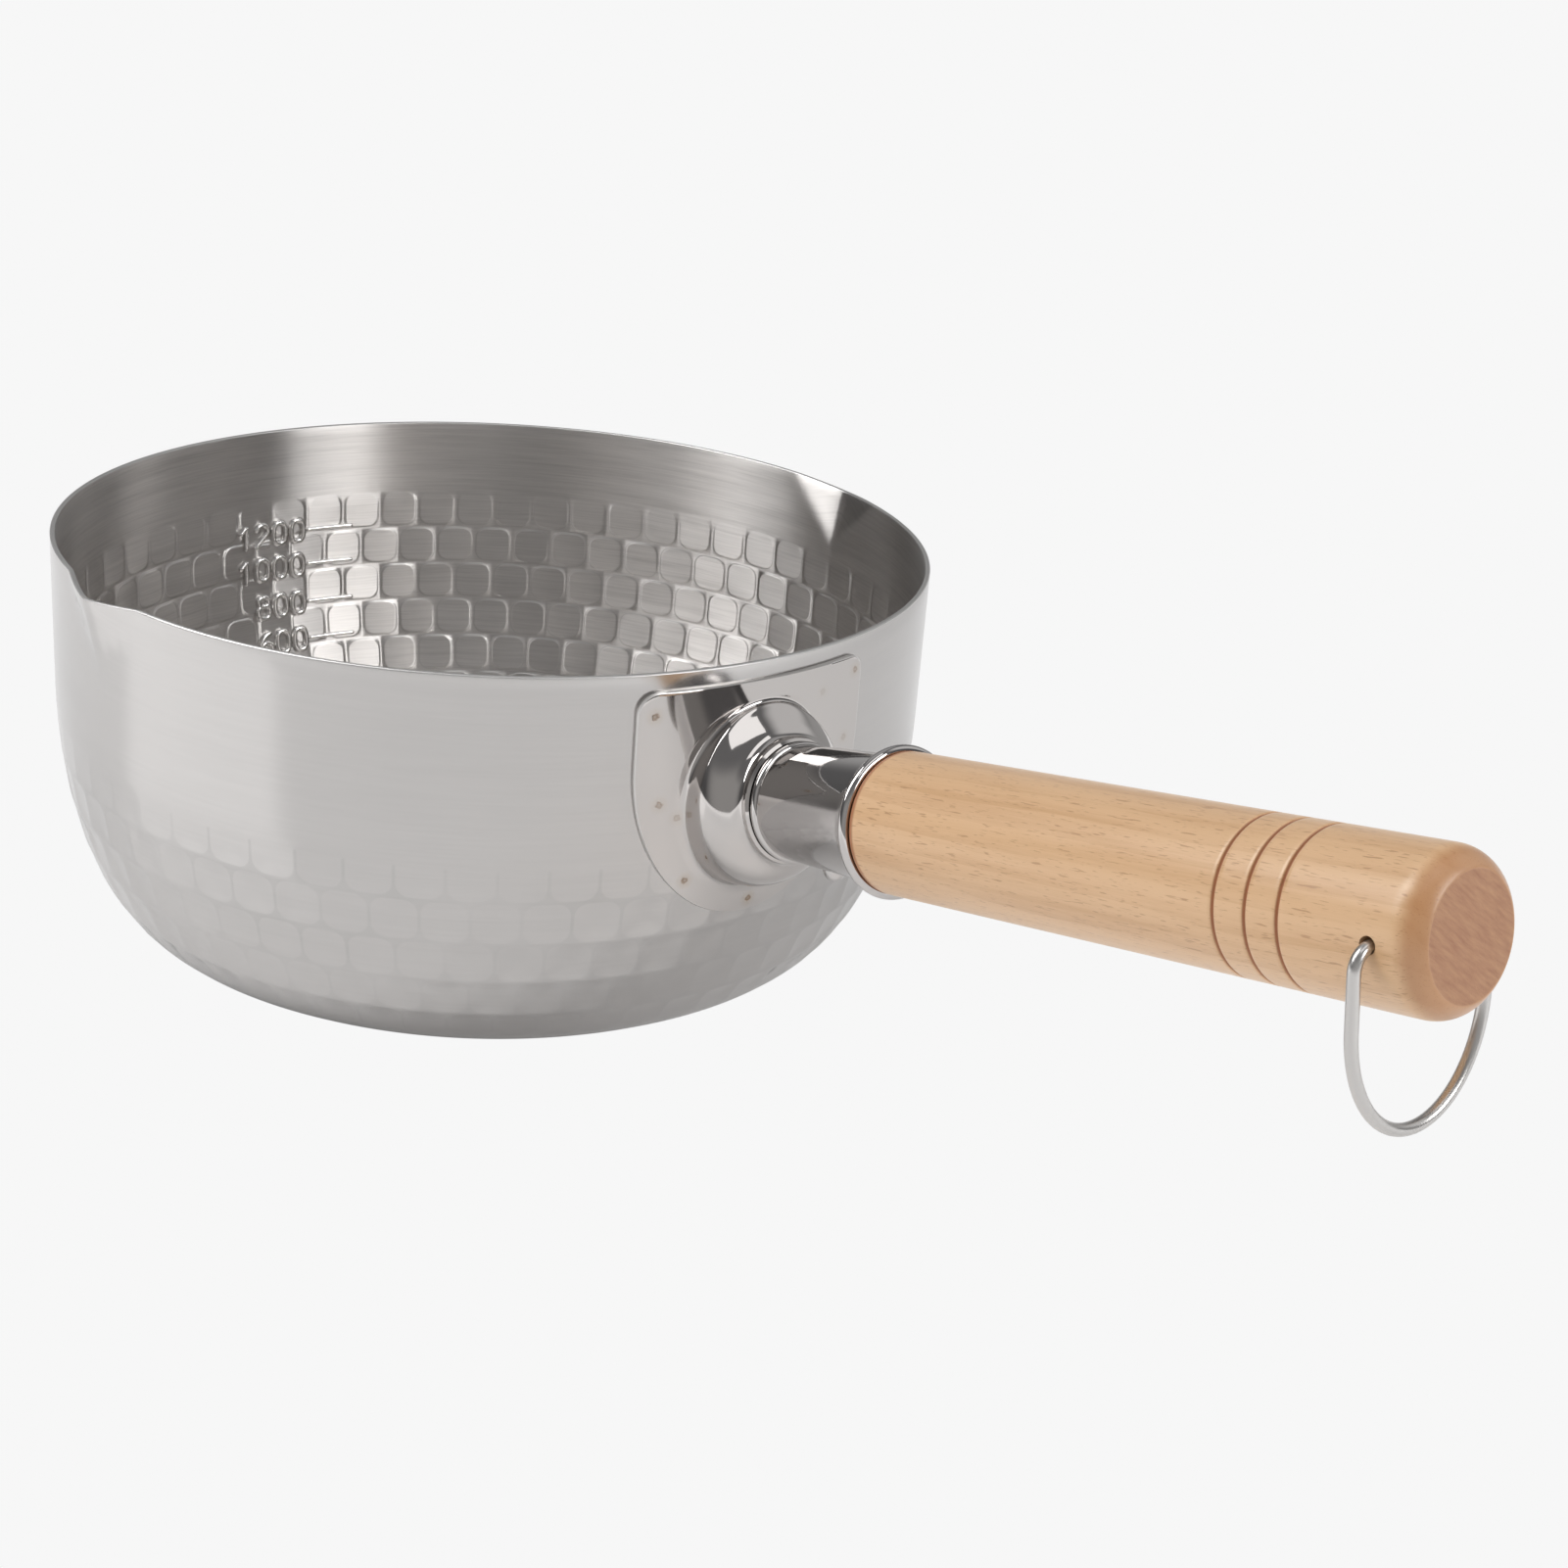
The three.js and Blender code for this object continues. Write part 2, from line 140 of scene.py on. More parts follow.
class Shade:
    """A socket's value, which Python's operators turn into Math nodes."""

    def __init__(self, bench: Bench, socket: bpy.types.NodeSocket) -> None:
        """Keeps the socket and the bench that its tree belongs to."""
        self.bench = bench
        self.socket = socket

    __add__ = operator("ADD")
    __radd__ = operator("ADD", reflected=True)
    __sub__ = operator("SUBTRACT")
    __rsub__ = operator("SUBTRACT", reflected=True)
    __mul__ = operator("MULTIPLY")
    __rmul__ = operator("MULTIPLY", reflected=True)
    __truediv__ = operator("DIVIDE")
    __rtruediv__ = operator("DIVIDE", reflected=True)
    most = operator("MAXIMUM")

    def __abs__(self) -> Shade:
        """abs(self)."""
        return self.bench.maths("ABSOLUTE", self)

    def rise(self, low: float, high: float) -> Shade:
        """A soft step.

        Args:
            low: where the step starts, at 0.
            high: where it ends, at 1. It may be below low, and the step then falls.

        Returns:
            The step's height for this value.
        """
        if low > high:
            return 1 - self.rise(high, low)
        settings = {"interpolation_type": "SMOOTHSTEP"}
        return self.bench.node("ShaderNodeMapRange", settings, {0: self, 1: low, 2: high})


class Bench:
    """One node tree and the ways its nodes are made."""

    def __init__(self, tree: bpy.types.NodeTree) -> None:
        """Clears a tree to start from nothing."""
        self.tree = tree
        tree.nodes.clear()

    def node(
        self,
        kind: str,
        settings: dict[str, Any] | None = None,
        inputs: dict[str | int, Value] | None = None,
        output: str | int = 0,
    ) -> Shade:
        """Makes a node.

        Args:
            kind: the node's type.
            settings: the node's own properties, set first. "stops" are a ramp's (place, colour) pairs.
            inputs: values or links of its sockets, by name or number.
            output: the socket that is handed back.

        Returns:
            The chosen output.
        """
        made = self.tree.nodes.new(kind)
        for name, value in (settings or {}).items():
            if name == "stops":
                self._set_stops(made.color_ramp, value)
            else:
                setattr(made, name, value)
        for name, value in (inputs or {}).items():
            if isinstance(value, Shade):
                self.tree.links.new(value.socket, made.inputs[name])
            else:
                made.inputs[name].default_value = value
        return Shade(self, made.outputs[output] if len(made.outputs) else None)

    @staticmethod
    def _set_stops(ramp: bpy.types.ColorRamp, stops: Sequence[tuple[float, Colour]]) -> None:
        """Sets a ramp's stops.

        Args:
            ramp: the ramp, with its two first stops.
            stops: places from 0 to 1 in order, each with its colour.
        """
        while len(ramp.elements) < len(stops):
            ramp.elements.new(0.5)
        for element, (place, colour) in zip(ramp.elements, stops):
            element.position = place
            element.color = colour

    def maths(self, operation: str, *values: Value) -> Shade:
        """A Math node's result."""
        return self.node("ShaderNodeMath", {"operation": operation}, dict(enumerate(values)))

    def length(self, x: Shade, y: Shade) -> Shade:
        """The length of a flat vector."""
        return self.maths("SQRT", x * x + y * y)

    def vector(self, x: Value, y: Value, z: Value) -> Shade:
        """Three values as one vector."""
        return self.node("ShaderNodeCombineXYZ", inputs={0: x, 1: y, 2: z})

    def place(self) -> Place:
        """The place on the piece.

        Returns:
            The three coordinates, in the piece's own millimetres.
        """
        here = self.node("ShaderNodeTexCoord", output="Object")
        scaled = self.node("ShaderNodeVectorMath", {"operation": "SCALE"}, {0: here, "Scale": 1 / MM})
        split = self.node("ShaderNodeSeparateXYZ", inputs={0: scaled}).socket.node
        x, y, z = (Shade(self, output) for output in split.outputs)
        return x, y, z

    def noise(self, where: Shade, scale: float = 1, detail: float = 2, roughness: float = 0.5) -> Shade:
        """Soft noise, with its waves to a unit of where, its octaves and the share of the finer ones."""
        inputs = {"Vector": where, "Scale": scale, "Detail": detail, "Roughness": roughness}
        return self.node("ShaderNodeTexNoise", inputs=inputs, output="Fac")

    def mix(self, share: Value, first: Value, second: Value) -> Shade:
        """Two colours mixed: a share of 0 gives the first and 1 the second."""
        return self.node("ShaderNodeMix", {"data_type": "RGBA"}, {0: share, 6: first, 7: second}, 2)

    def bump(self, height: Shade, depth: float) -> Shade:
        """A normal bent by a height, in which 1 stands for a depth in millimetres."""
        inputs = {"Strength": 1.0, "Distance": depth * MM, "Height": height}
        return self.node("ShaderNodeBump", inputs=inputs)

    def surface(self, sockets: dict[str, Value]) -> None:
        """Ends the tree of a material with a Principled shader."""
        shader = self.node("ShaderNodeBsdfPrincipled", inputs=sockets)
        self.node("ShaderNodeOutputMaterial", inputs={"Surface": shader})


def new_material(name: str) -> tuple[bpy.types.Material, Bench]:
    """A material with an empty tree.

    Args:
        name: the material's name.

    Returns:
        The material and the bench for its tree.
    """
    material = bpy.data.materials.new(name)
    material.use_nodes = True
    return material, Bench(material.node_tree)


def grey(tone: float) -> Colour:
    """A colour without hue."""
    return tone, tone, tone, 1.0


@dataclass(frozen=True)
class Grain:
    """A figure drawn out along a surface, in waves to a millimetre across and along it.

    The tone and the height are its shares in the finish, and the edge is where it starts and is full.
    """

    across: float
    along: float
    detail: float = 2
    roughness: float = 0.5
    tone: float = 0.0
    height: float = 0.0
    edge: Pair = (0.0, 1.0)

    def noise(self, bench: Bench, place: Place) -> Shade:
        """The figure.

        Args:
            bench: the material's bench.
            place: the place it is read at, along its third coordinate.

        Returns:
            Noise about the middle.
        """
        x, y, z = place
        where = bench.vector(x * self.across, y * self.across, z * self.along)
        return bench.noise(where, detail=self.detail, roughness=self.roughness)


# Finishes


@dataclass(frozen=True)
class BrushedSteel:
    """Stainless sheet brushed round the bowl's axis, which draws a light out up and down the wall."""

    name: str
    colour: Colour
    roughness: float
    stretch: float
    line_depth: float
    line_tone: float
    lines_per_mm: float
    cloud_tone: float = 0.1
    cloud_scale: float = 0.035
    line_waves: float = 4.0
    line_roughness: float = 0.7
    streaks: Grain = Grain(across=0.6, along=0.4, detail=3, tone=0.5)
    dark_share: float = 0.5
    dark_level: float = 0.3
    tone_roughness: float = 0.2
    up_the_wall: float = 0.25

    def material(self) -> bpy.types.Material:
        """Builds the finish.

        Returns:
            The material.
        """
        material, bench = new_material(self.name)
        x, y, z = bench.place()
        turn = bench.maths("ARCTAN2", y, x)
        # Going down the wall and in over the base, this grows all the way.
        run = bench.length(x, y) - z
        round_x = bench.maths("COSINE", turn) * self.line_waves
        round_y = bench.maths("SINE", turn) * self.line_waves
        on_lines = bench.vector(round_x, round_y, run * self.lines_per_mm)
        lines = bench.noise(on_lines, detail=3, roughness=self.line_roughness)
        streaks = self.streaks.noise(bench, (round_x, round_y, run))
        clouds = bench.noise(bench.vector(x, y, z), scale=self.cloud_scale, detail=3)
        tone = (lines - MIDDLE) * self.line_tone
        tone = tone + (streaks - MIDDLE) * self.line_tone * self.streaks.tone
        tone = tone + (clouds - MIDDLE) * self.cloud_tone
        dark = tuple(self.dark_share * c for c in self.colour[:3]) + (1.0,)
        bench.surface(
            {
                "Base Color": bench.mix((self.dark_level - tone).rise(0.0, 1.0), self.colour, dark),
                "Metallic": 1.0,
                "Roughness": self.roughness + tone * self.tone_roughness,
                "Anisotropic": self.stretch,
                "Anisotropic Rotation": self.up_the_wall,
                "Normal": bench.bump(lines, self.line_depth),
            }
        )
        return material


class Weld(NamedTuple):
    """A spot weld: its place across the bracket, its height and how strongly it shows."""

    across: float
    height: float
    strength: float


@dataclass(frozen=True)
class PolishedSteel:
    """Polished steel with faint wiping marks, and heat-tinted weld marks if any are given."""

    name: str
    colour: Colour
    roughness: float
    welds: tuple[Weld, ...] = ()
    smear_scale: float = 0.09
    smear_roughness: float = 0.05
    scratches: Grain = Grain(across=0.2, along=5, detail=3)
    scratch_roughness: float = 0.03
    scratch_height: float = 0.01
    bump_depth: float = 0.02
    weld_radius: float = 0.85
    weld_reach: float = 91.3
    weld_margin: float = 0.3
    weld_depth: float = 2.0
    ragged_edge: float = 0.9
    ragged_scale: float = 1.6
    spot_core: float = 0.5
    spot_tint: float = 0.85
    spot_roughness: float = 0.35
    hollow: float = 0.45
    hollow_size: float = 0.6
    halo_size: float = 2.6
    halo_core: float = 0.8
    halo_tint: float = 0.55
    halo_roughness: float = 0.05
    weld_colour: Colour = (0.26, 0.18, 0.12, 1.0)
    tint_colour: Colour = (0.5, 0.44, 0.38, 1.0)

    def material(self) -> bpy.types.Material:
        """Builds the finish.

        Returns:
            The material.
        """
        material, bench = new_material(self.name)
        place = bench.place()
        smears = bench.noise(bench.vector(*place), scale=self.smear_scale, detail=4)
        scratches = self.scratches.noise(bench, place)
        colour: Value = self.colour
        roughness = self.roughness + (smears - MIDDLE) * self.smear_roughness
        roughness = roughness + (scratches - MIDDLE) * self.scratch_roughness
        height = scratches * self.scratch_height
        if self.welds:
            spot, halo = self._welds(bench, place)
            colour = bench.mix(halo * self.halo_tint, colour, self.tint_colour)
            colour = bench.mix(spot * self.spot_tint, colour, self.weld_colour)
            roughness = roughness + spot * self.spot_roughness + halo * self.halo_roughness
            height = height - spot * self.weld_depth
        bench.surface(
            {
                "Base Color": colour,
                "Metallic": 1.0,
                "Roughness": roughness,
                "Normal": bench.bump(height, self.bump_depth),
            }
        )
        return material

    def _welds(self, bench: Bench, place: Place) -> tuple[Shade, Shade]:
        """The weld marks, which are on the plate and not on the boss.

        Args:
            bench: the material's bench.
            place: the place on the bracket.

        Returns:
            The marks themselves and the tint round them, each from 0 to 1.
        """
        x, y, z = place
        size = self.weld_radius
        ragged = bench.noise(bench.vector(y, z, 0.0), scale=self.ragged_scale, detail=3)
        ragged = (ragged - MIDDLE) * self.ragged_edge
        spot: Value = 0.0
        halo: Value = 0.0
        for weld in self.welds:
            away = bench.length(y - weld.across, z - weld.height) + ragged
            hollow = (1 - self.hollow) + self.hollow * away.rise(0.0, self.hollow_size * size)
            full = away.rise(size, self.spot_core * size)
            spot = (full * hollow * weld.strength).most(spot)
            tint = away.rise(self.halo_size * size, self.halo_core * size)
            halo = (tint * weld.strength).most(halo)
        on_plate = bench.length(x, y).rise(self.weld_reach + self.weld_margin, self.weld_reach)
        return spot * on_plate, halo * on_plate


@dataclass(frozen=True)
class LacqueredBeech:
    """Clear-lacquered beech, its grain along the piece's own +Z, with burnt rings and a darker end.

    The handle is cut well off the tree's middle, so the year rings cross it as shallow arcs. The dark ring
    at the shoulder, against the ferrule's curl, is partly scorched wood and partly painted shade of the gap.
    """

    name: str
    burnt_places: tuple[float, ...]
    burnt_half_width: float
    shoulder: float
    end: float
    end_round: float
    face_radius: float
    pale: Colour = (0.75, 0.48, 0.265, 1.0)
    deep: Colour = (0.63, 0.37, 0.18, 1.0)
    fleck: Colour = (0.4, 0.19, 0.08, 1.0)
    end_grain: Colour = (0.34, 0.147, 0.073, 1.0)
    end_band: Colour = (0.45, 0.2, 0.075, 1.0)
    scorch_and_shade_colour: Colour = (0.4, 0.145, 0.055, 1.0)
    heart_below: float = 38.0
    heart_beside: float = 21.0
    ring_width: float = 3.4
    ring_warp: float = 2.0
    late_edge: Pair = (0.3, 1.0)
    late_tone: float = 0.3
    ground_tone: float = 0.25
    warp: Grain = Grain(across=0.05, along=0.01)
    streak: Grain = Grain(across=0.6, along=0.012, detail=3, tone=1.3)
    broad: Grain = Grain(across=0.22, along=0.02, tone=1.2)
    fine: Grain = Grain(across=6.0, along=0.16, detail=3, roughness=0.6, tone=0.8, height=0.3)
    dash: Grain = Grain(across=4.2, along=0.42, detail=1, tone=0.5, height=0.2, edge=(0.63, 0.72))
    ray: Grain = Grain(across=2.3, along=0.26, detail=1, tone=0.6, height=0.3, edge=(0.66, 0.74))
    grain_depth: float = 0.04
    band_edge: Pair = (0.75, 0.3)
    band_tone: float = 0.75
    face_edge: Pair = (0.1, -0.3)
    face_depth: Pair = (1.0, 0.4)
    face_tone: float = 0.75
    face_paling: float = 0.5
    pore_across: Pair = (0.9, 0.7)
    pore_along: Pair = (0.16, 0.12)
    pore_roughness: float = 0.65
    pore_tone: float = 1.2
    burnt_edge: Pair = (1.2, 0.6)
    # The shoulder's dark ring: partly scorching, partly painted shade of the gap at the ferrule's curl.
    shoulder_scorch_and_shade: Pair = (1.5, 0.9)
    scorch_and_shade_tone: float = 0.9
    lacquer: float = 0.7
    lacquer_roughness: float = 0.36
    face_lacquer: float = 0.45
    wood_roughness: float = 0.4
    scorch_and_shade_roughness: float = 0.25
    grain_roughness: float = 0.12
    face_roughness: float = 0.12

    def material(self) -> bpy.types.Material:
        """Builds the finish.

        Returns:
            The material.
        """
        material, bench = new_material(self.name)
        place = bench.place()
        x, y, z = place
        warp = self.warp.noise(bench, place) - MIDDLE
        heart = bench.length(x + self.heart_below, y - self.heart_beside)
        ring = bench.maths("FRACT", heart / self.ring_width + warp * self.ring_warp)
        fine = self.fine.noise(bench, place)
        dashes = self.dash.noise(bench, place).rise(*self.dash.edge)
        rays = self.ray.noise(bench, place).rise(*self.ray.edge)
        depth = ring.rise(*self.late_edge) * self.late_tone
        for figure in (self.streak, self.broad):
            depth = depth + (figure.noise(bench, place) - MIDDLE) * figure.tone
        depth = depth + (fine - MIDDLE) * self.fine.tone + self.ground_tone
        wood = bench.mix(depth.rise(0.0, 1.0), self.pale, self.deep)
        wood = bench.mix((dashes * self.dash.tone).most(rays * self.ray.tone), wood, self.fleck)
        band = z.rise(*(self.end - self.end_round * share for share in self.band_edge))
        wood = bench.mix(band * self.band_tone, wood, self.end_band)
        face = bench.length(x, y).rise(*(self.face_radius + edge for edge in self.face_edge))
        face = face * z.rise(*(self.end - depth for depth in self.face_depth))
        pores = self._pores(bench, x, y)
        wood = bench.mix(face * self.face_paling, wood, self.pale)
        wood = bench.mix(face * (self.face_tone + pores * self.pore_tone), wood, self.end_grain)
        # Scorched grooves, and a shoulder darkened partly by scorching and partly by painted shade of the
        # gap.
        scorch_and_shade = self._scorch_and_shade(z)
        roughness = self.wood_roughness + scorch_and_shade * self.scorch_and_shade_roughness
        roughness = roughness + (fine - MIDDLE) * self.grain_roughness + face * self.face_roughness
        height = fine * self.fine.height - rays * self.ray.height - dashes * self.dash.height
        bench.surface(
            {
                "Base Color": bench.mix(scorch_and_shade * self.scorch_and_shade_tone, wood, self.scorch_and_shade_colour),
                "Roughness": roughness,
                "Coat Weight": self.lacquer - face * self.face_lacquer,
                "Coat Roughness": self.lacquer_roughness,
                "Normal": bench.bump(height, self.grain_depth),
            }
        )
        return material

    def _pores(self, bench: Bench, x: Shade, y: Shade) -> Shade:
        """The pores in the end's face.

        Args:
            bench: the material's bench.
            x: distance down from the axis.
            y: distance beside it.

        Returns:
            Noise about 0, drawn out along the face.
        """
        across = x * self.pore_across[0] - y * self.pore_across[1]
        along = y * self.pore_along[1] + x * self.pore_along[0]
        where = bench.vector(across, along, 0.0)
        return bench.noise(where, detail=4, roughness=self.pore_roughness) - MIDDLE

    def _scorch_and_shade(self, z: Shade) -> Shade:
        """The burnt rings, and the dark ring at the shoulder, which is partly scorching and partly painted
        shade.

        Args:
            z: station.

        Returns:
            How dark the wood is made, from 0 to 1: scorching, with painted shade at the shoulder.
        """
        scorch_and_shade = z.rise(*(self.shoulder + depth for depth in self.shoulder_scorch_and_shade))
        edge = [self.burnt_half_width * share for share in self.burnt_edge]
        for place in self.burnt_places:
            scorch_and_shade = abs(z - place).rise(*edge).most(scorch_and_shade)
        return scorch_and_shade


@dataclass(frozen=True)
class PaleFloor:
    """Matt white board under the pot, with painted light glowing towards its far edge and in a panel beside
    the pot.
    """

    name: str = "pale_floor_painted_glow"
    colour: Colour = grey(0.86)
    roughness: float = 0.7
    shine: float = 0.2
    near_glow: Colour = grey(0.14)
    far_glow: Colour = grey(0.82)
    glow_from: float = 300.0
    glow_to: float = 1300.0
    # The panel is a patch of painted light on the board, beside the pot.
    panel_corner: Pair = (52.0, -41.0)
    panel_sides: Pair = (-136.0, -90.0)
    panel_soft: float = 10.0
    panel_from: float = 90.0
    panel_to: float = 185.0
    panel_glow: float = 0.34

    def material(self) -> bpy.types.Material:
        """Builds the finish.

        Returns:
            The material.
        """
        material, bench = new_material(self.name)
        x, y, _ = bench.place()
        away = bench.length(x, y)
        off_x, off_y = x - self.panel_corner[0], y - self.panel_corner[1]
        left, right = (math.radians(side) for side in self.panel_sides)
        past_left = off_y * math.cos(left) - off_x * math.sin(left)
        past_right = off_x * math.sin(right) - off_y * math.cos(right)
        soft = self.panel_soft
        painted_light_panel = past_left.rise(-soft, soft) * past_right.rise(-soft, soft)
        painted_light_panel = painted_light_panel * away.rise(self.panel_from, self.panel_to)
        # Painted light: the board glows towards its far edge and in the panel.
        painted_glow = away.rise(self.glow_from, self.glow_to).most(painted_light_panel * self.panel_glow)
        bench.surface(
            {
                "Base Color": self.colour,
                "Roughness": self.roughness,
                "Specular IOR Level": self.shine,
                "Emission Color": bench.mix(painted_glow, self.near_glow, self.far_glow),
                "Emission Strength": 1.0,
            }
        )
        return material


INSIDE_STEEL = BrushedSteel(
    name="inside_steel",
    colour=(0.75, 0.725, 0.705, 1.0),
    roughness=0.36,
    stretch=1.0,
    line_depth=0.004,
    line_tone=0.65,
    lines_per_mm=2.0,
)
OUTSIDE_STEEL = BrushedSteel(
    name="outside_steel",
    colour=(0.585, 0.568, 0.557, 1.0),
    roughness=0.17,
    stretch=0.5,
    line_depth=0.001,
    line_tone=0.14,
    lines_per_mm=2.6,
)
# A darker, mottled copy of the outside finish: painted shade along the outlines of the outer marks.
SEAM_SHADE_STEEL = replace(
    OUTSIDE_STEEL, name="seam_painted_shade", colour=(0.562, 0.546, 0.536, 1.0), roughness=0.2, cloud_tone=0.45
)
# Darker than the inside steel: painted shade in the grooves between the marks.
GROOVE_SHADE_STEEL = PolishedSteel("groove_painted_shade", (0.6, 0.585, 0.57, 1.0), roughness=0.37)
CUT_EDGE = PolishedSteel("cut_edge", (0.6, 0.59, 0.58, 1.0), roughness=0.42)
# Paler than the inside steel: a painted highlight on the raised numerals and strokes.
RAISED_SCALE_HIGHLIGHT = PolishedSteel("raised_scale_painted_highlight", (0.8, 0.785, 0.77, 1.0), roughness=0.2)
SOCKET_STEEL = PolishedSteel("polished_steel", (0.56, 0.54, 0.53, 1.0), roughness=0.05)
PLATE_EDGE = PolishedSteel("bracket_edge", (0.65, 0.635, 0.62, 1.0), roughness=0.4)
WIRE_STEEL = PolishedSteel("wire_polish", (0.58, 0.565, 0.55, 1.0), roughness=0.3)
PLATE_STEEL = PolishedSteel(
    "bracket_polish",
    (0.55, 0.525, 0.51, 1.0),
    roughness=0.06,
    welds=(
        Weld(-22.9, 73.4, 0.8),
        Weld(-21.2, 56.1, 0.6),
        Weld(-17.6, 53.2, 0.4),
        Weld(-14.9, 40.0, 0.9),
        Weld(0.2, 33.2, 1.0),
        Weld(23.8, 74.9, 0.6),
        Weld(14.5, 72.6, 0.2),
        Weld(22.0, 61.6, 0.3),
    ),
)


# Meshes


def arc(centre: Pair, radii: Pair, start: float, stop: float, steps: int) -> np.ndarray:
    """Points on an ellipse, from one angle to another in degrees, both ends included."""
    turn = np.radians(np.linspace(start, stop, steps + 1))
    return np.stack([centre[0] + radii[0] * np.cos(turn), centre[1] + radii[1] * np.sin(turn)], axis=1)


def curve(start: Sequence[float], pull: Sequence[float], stop: Sequence[float], steps: int) -> np.ndarray:
    """Points on a curve that leaves one place towards another and ends at a third.

    Args:
        start: where it starts.
        pull: the place it heads for.
        stop: where it ends.
        steps: stretches between the points.

    Returns:
        The points, both ends included.
    """
    t = np.linspace(0, 1, steps + 1)[:, None]
    a, b, c = (np.array(p, float) for p in (start, pull, stop))
    return (1 - t) ** 2 * a + 2 * t * (1 - t) * b + t**2 * c


def smooth_step(value: np.ndarray, low: float, high: float) -> np.ndarray:
    """A soft step from 0 at low to 1 at high."""
    t = np.clip((value - low) / (high - low), 0, 1)
    return t * t * (3 - 2 * t)


def distances(line: np.ndarray) -> np.ndarray:
    """Distances of a line's points from its start, along it."""
    return np.concatenate([[0], np.cumsum(np.linalg.norm(np.diff(line, axis=0), axis=1))])


def along_line(line: np.ndarray, places: np.ndarray) -> np.ndarray:
    """Points of a line at given distances from its start."""
    length = distances(line)
    return np.stack([np.interp(places, length, column) for column in line.T], axis=1)


def unit(vectors: np.ndarray) -> np.ndarray:
    """Vectors brought to length 1."""
    return vectors / (np.linalg.norm(vectors, axis=-1, keepdims=True) + GUARD)


def right_of(ahead: np.ndarray) -> np.ndarray:
    """Flat directions turned a quarter turn to the right."""
    return np.stack([ahead[:, 1], -ahead[:, 0]], axis=1)


def around(sides: int) -> np.ndarray:
    """Angles of evenly spaced columns."""
    return np.arange(sides) * 2 * math.pi / sides


def upright(radius: np.ndarray, turn: np.ndarray, height: np.ndarray) -> np.ndarray:
    """Places by distance from +Z, angle round it and height."""
    return np.stack(np.broadcast_arrays(radius * np.cos(turn), radius * np.sin(turn), height), axis=-1)


def turned(profile: np.ndarray, sides: int) -> np.ndarray:
    """Rings of a profile of (radius, height) points turned about +Z."""
    return upright(profile[:, :1], around(sides), profile[:, 1:])


def swept(path: np.ndarray, radius: float, sides: int) -> np.ndarray:
    """A round wire along a path, with domed ends.

    Args:
        path: points along its middle.
        radius: the wire's radius.
        sides: columns round the wire.

    Returns:
        Rings of points, from one end to the other.
    """
    along = unit(np.gradient(path, axis=0))
    across = np.cross(along[0], ASIDE)
    turn = around(sides)
    last = len(path) - 1
    rings = []
    for i, (point, ahead) in enumerate(zip(path, along)):
        across = unit(across - ahead * (across @ ahead))
        beside = np.cross(ahead, across)
        ring = np.cos(turn)[:, None] * across + np.sin(turn)[:, None] * beside
        ends = [(radius * np.cos(a), -radius * np.sin(a)) for a in WIRE_DOME] if i == 0 else []
        ends.append((radius, 0.0))
        if i == last:
            ends += [(radius * np.cos(a), radius * np.sin(a)) for a in WIRE_DOME[::-1]]
        rings += [point + ahead * shift + ring * size for size, shift in ends]
    return np.array(rings)


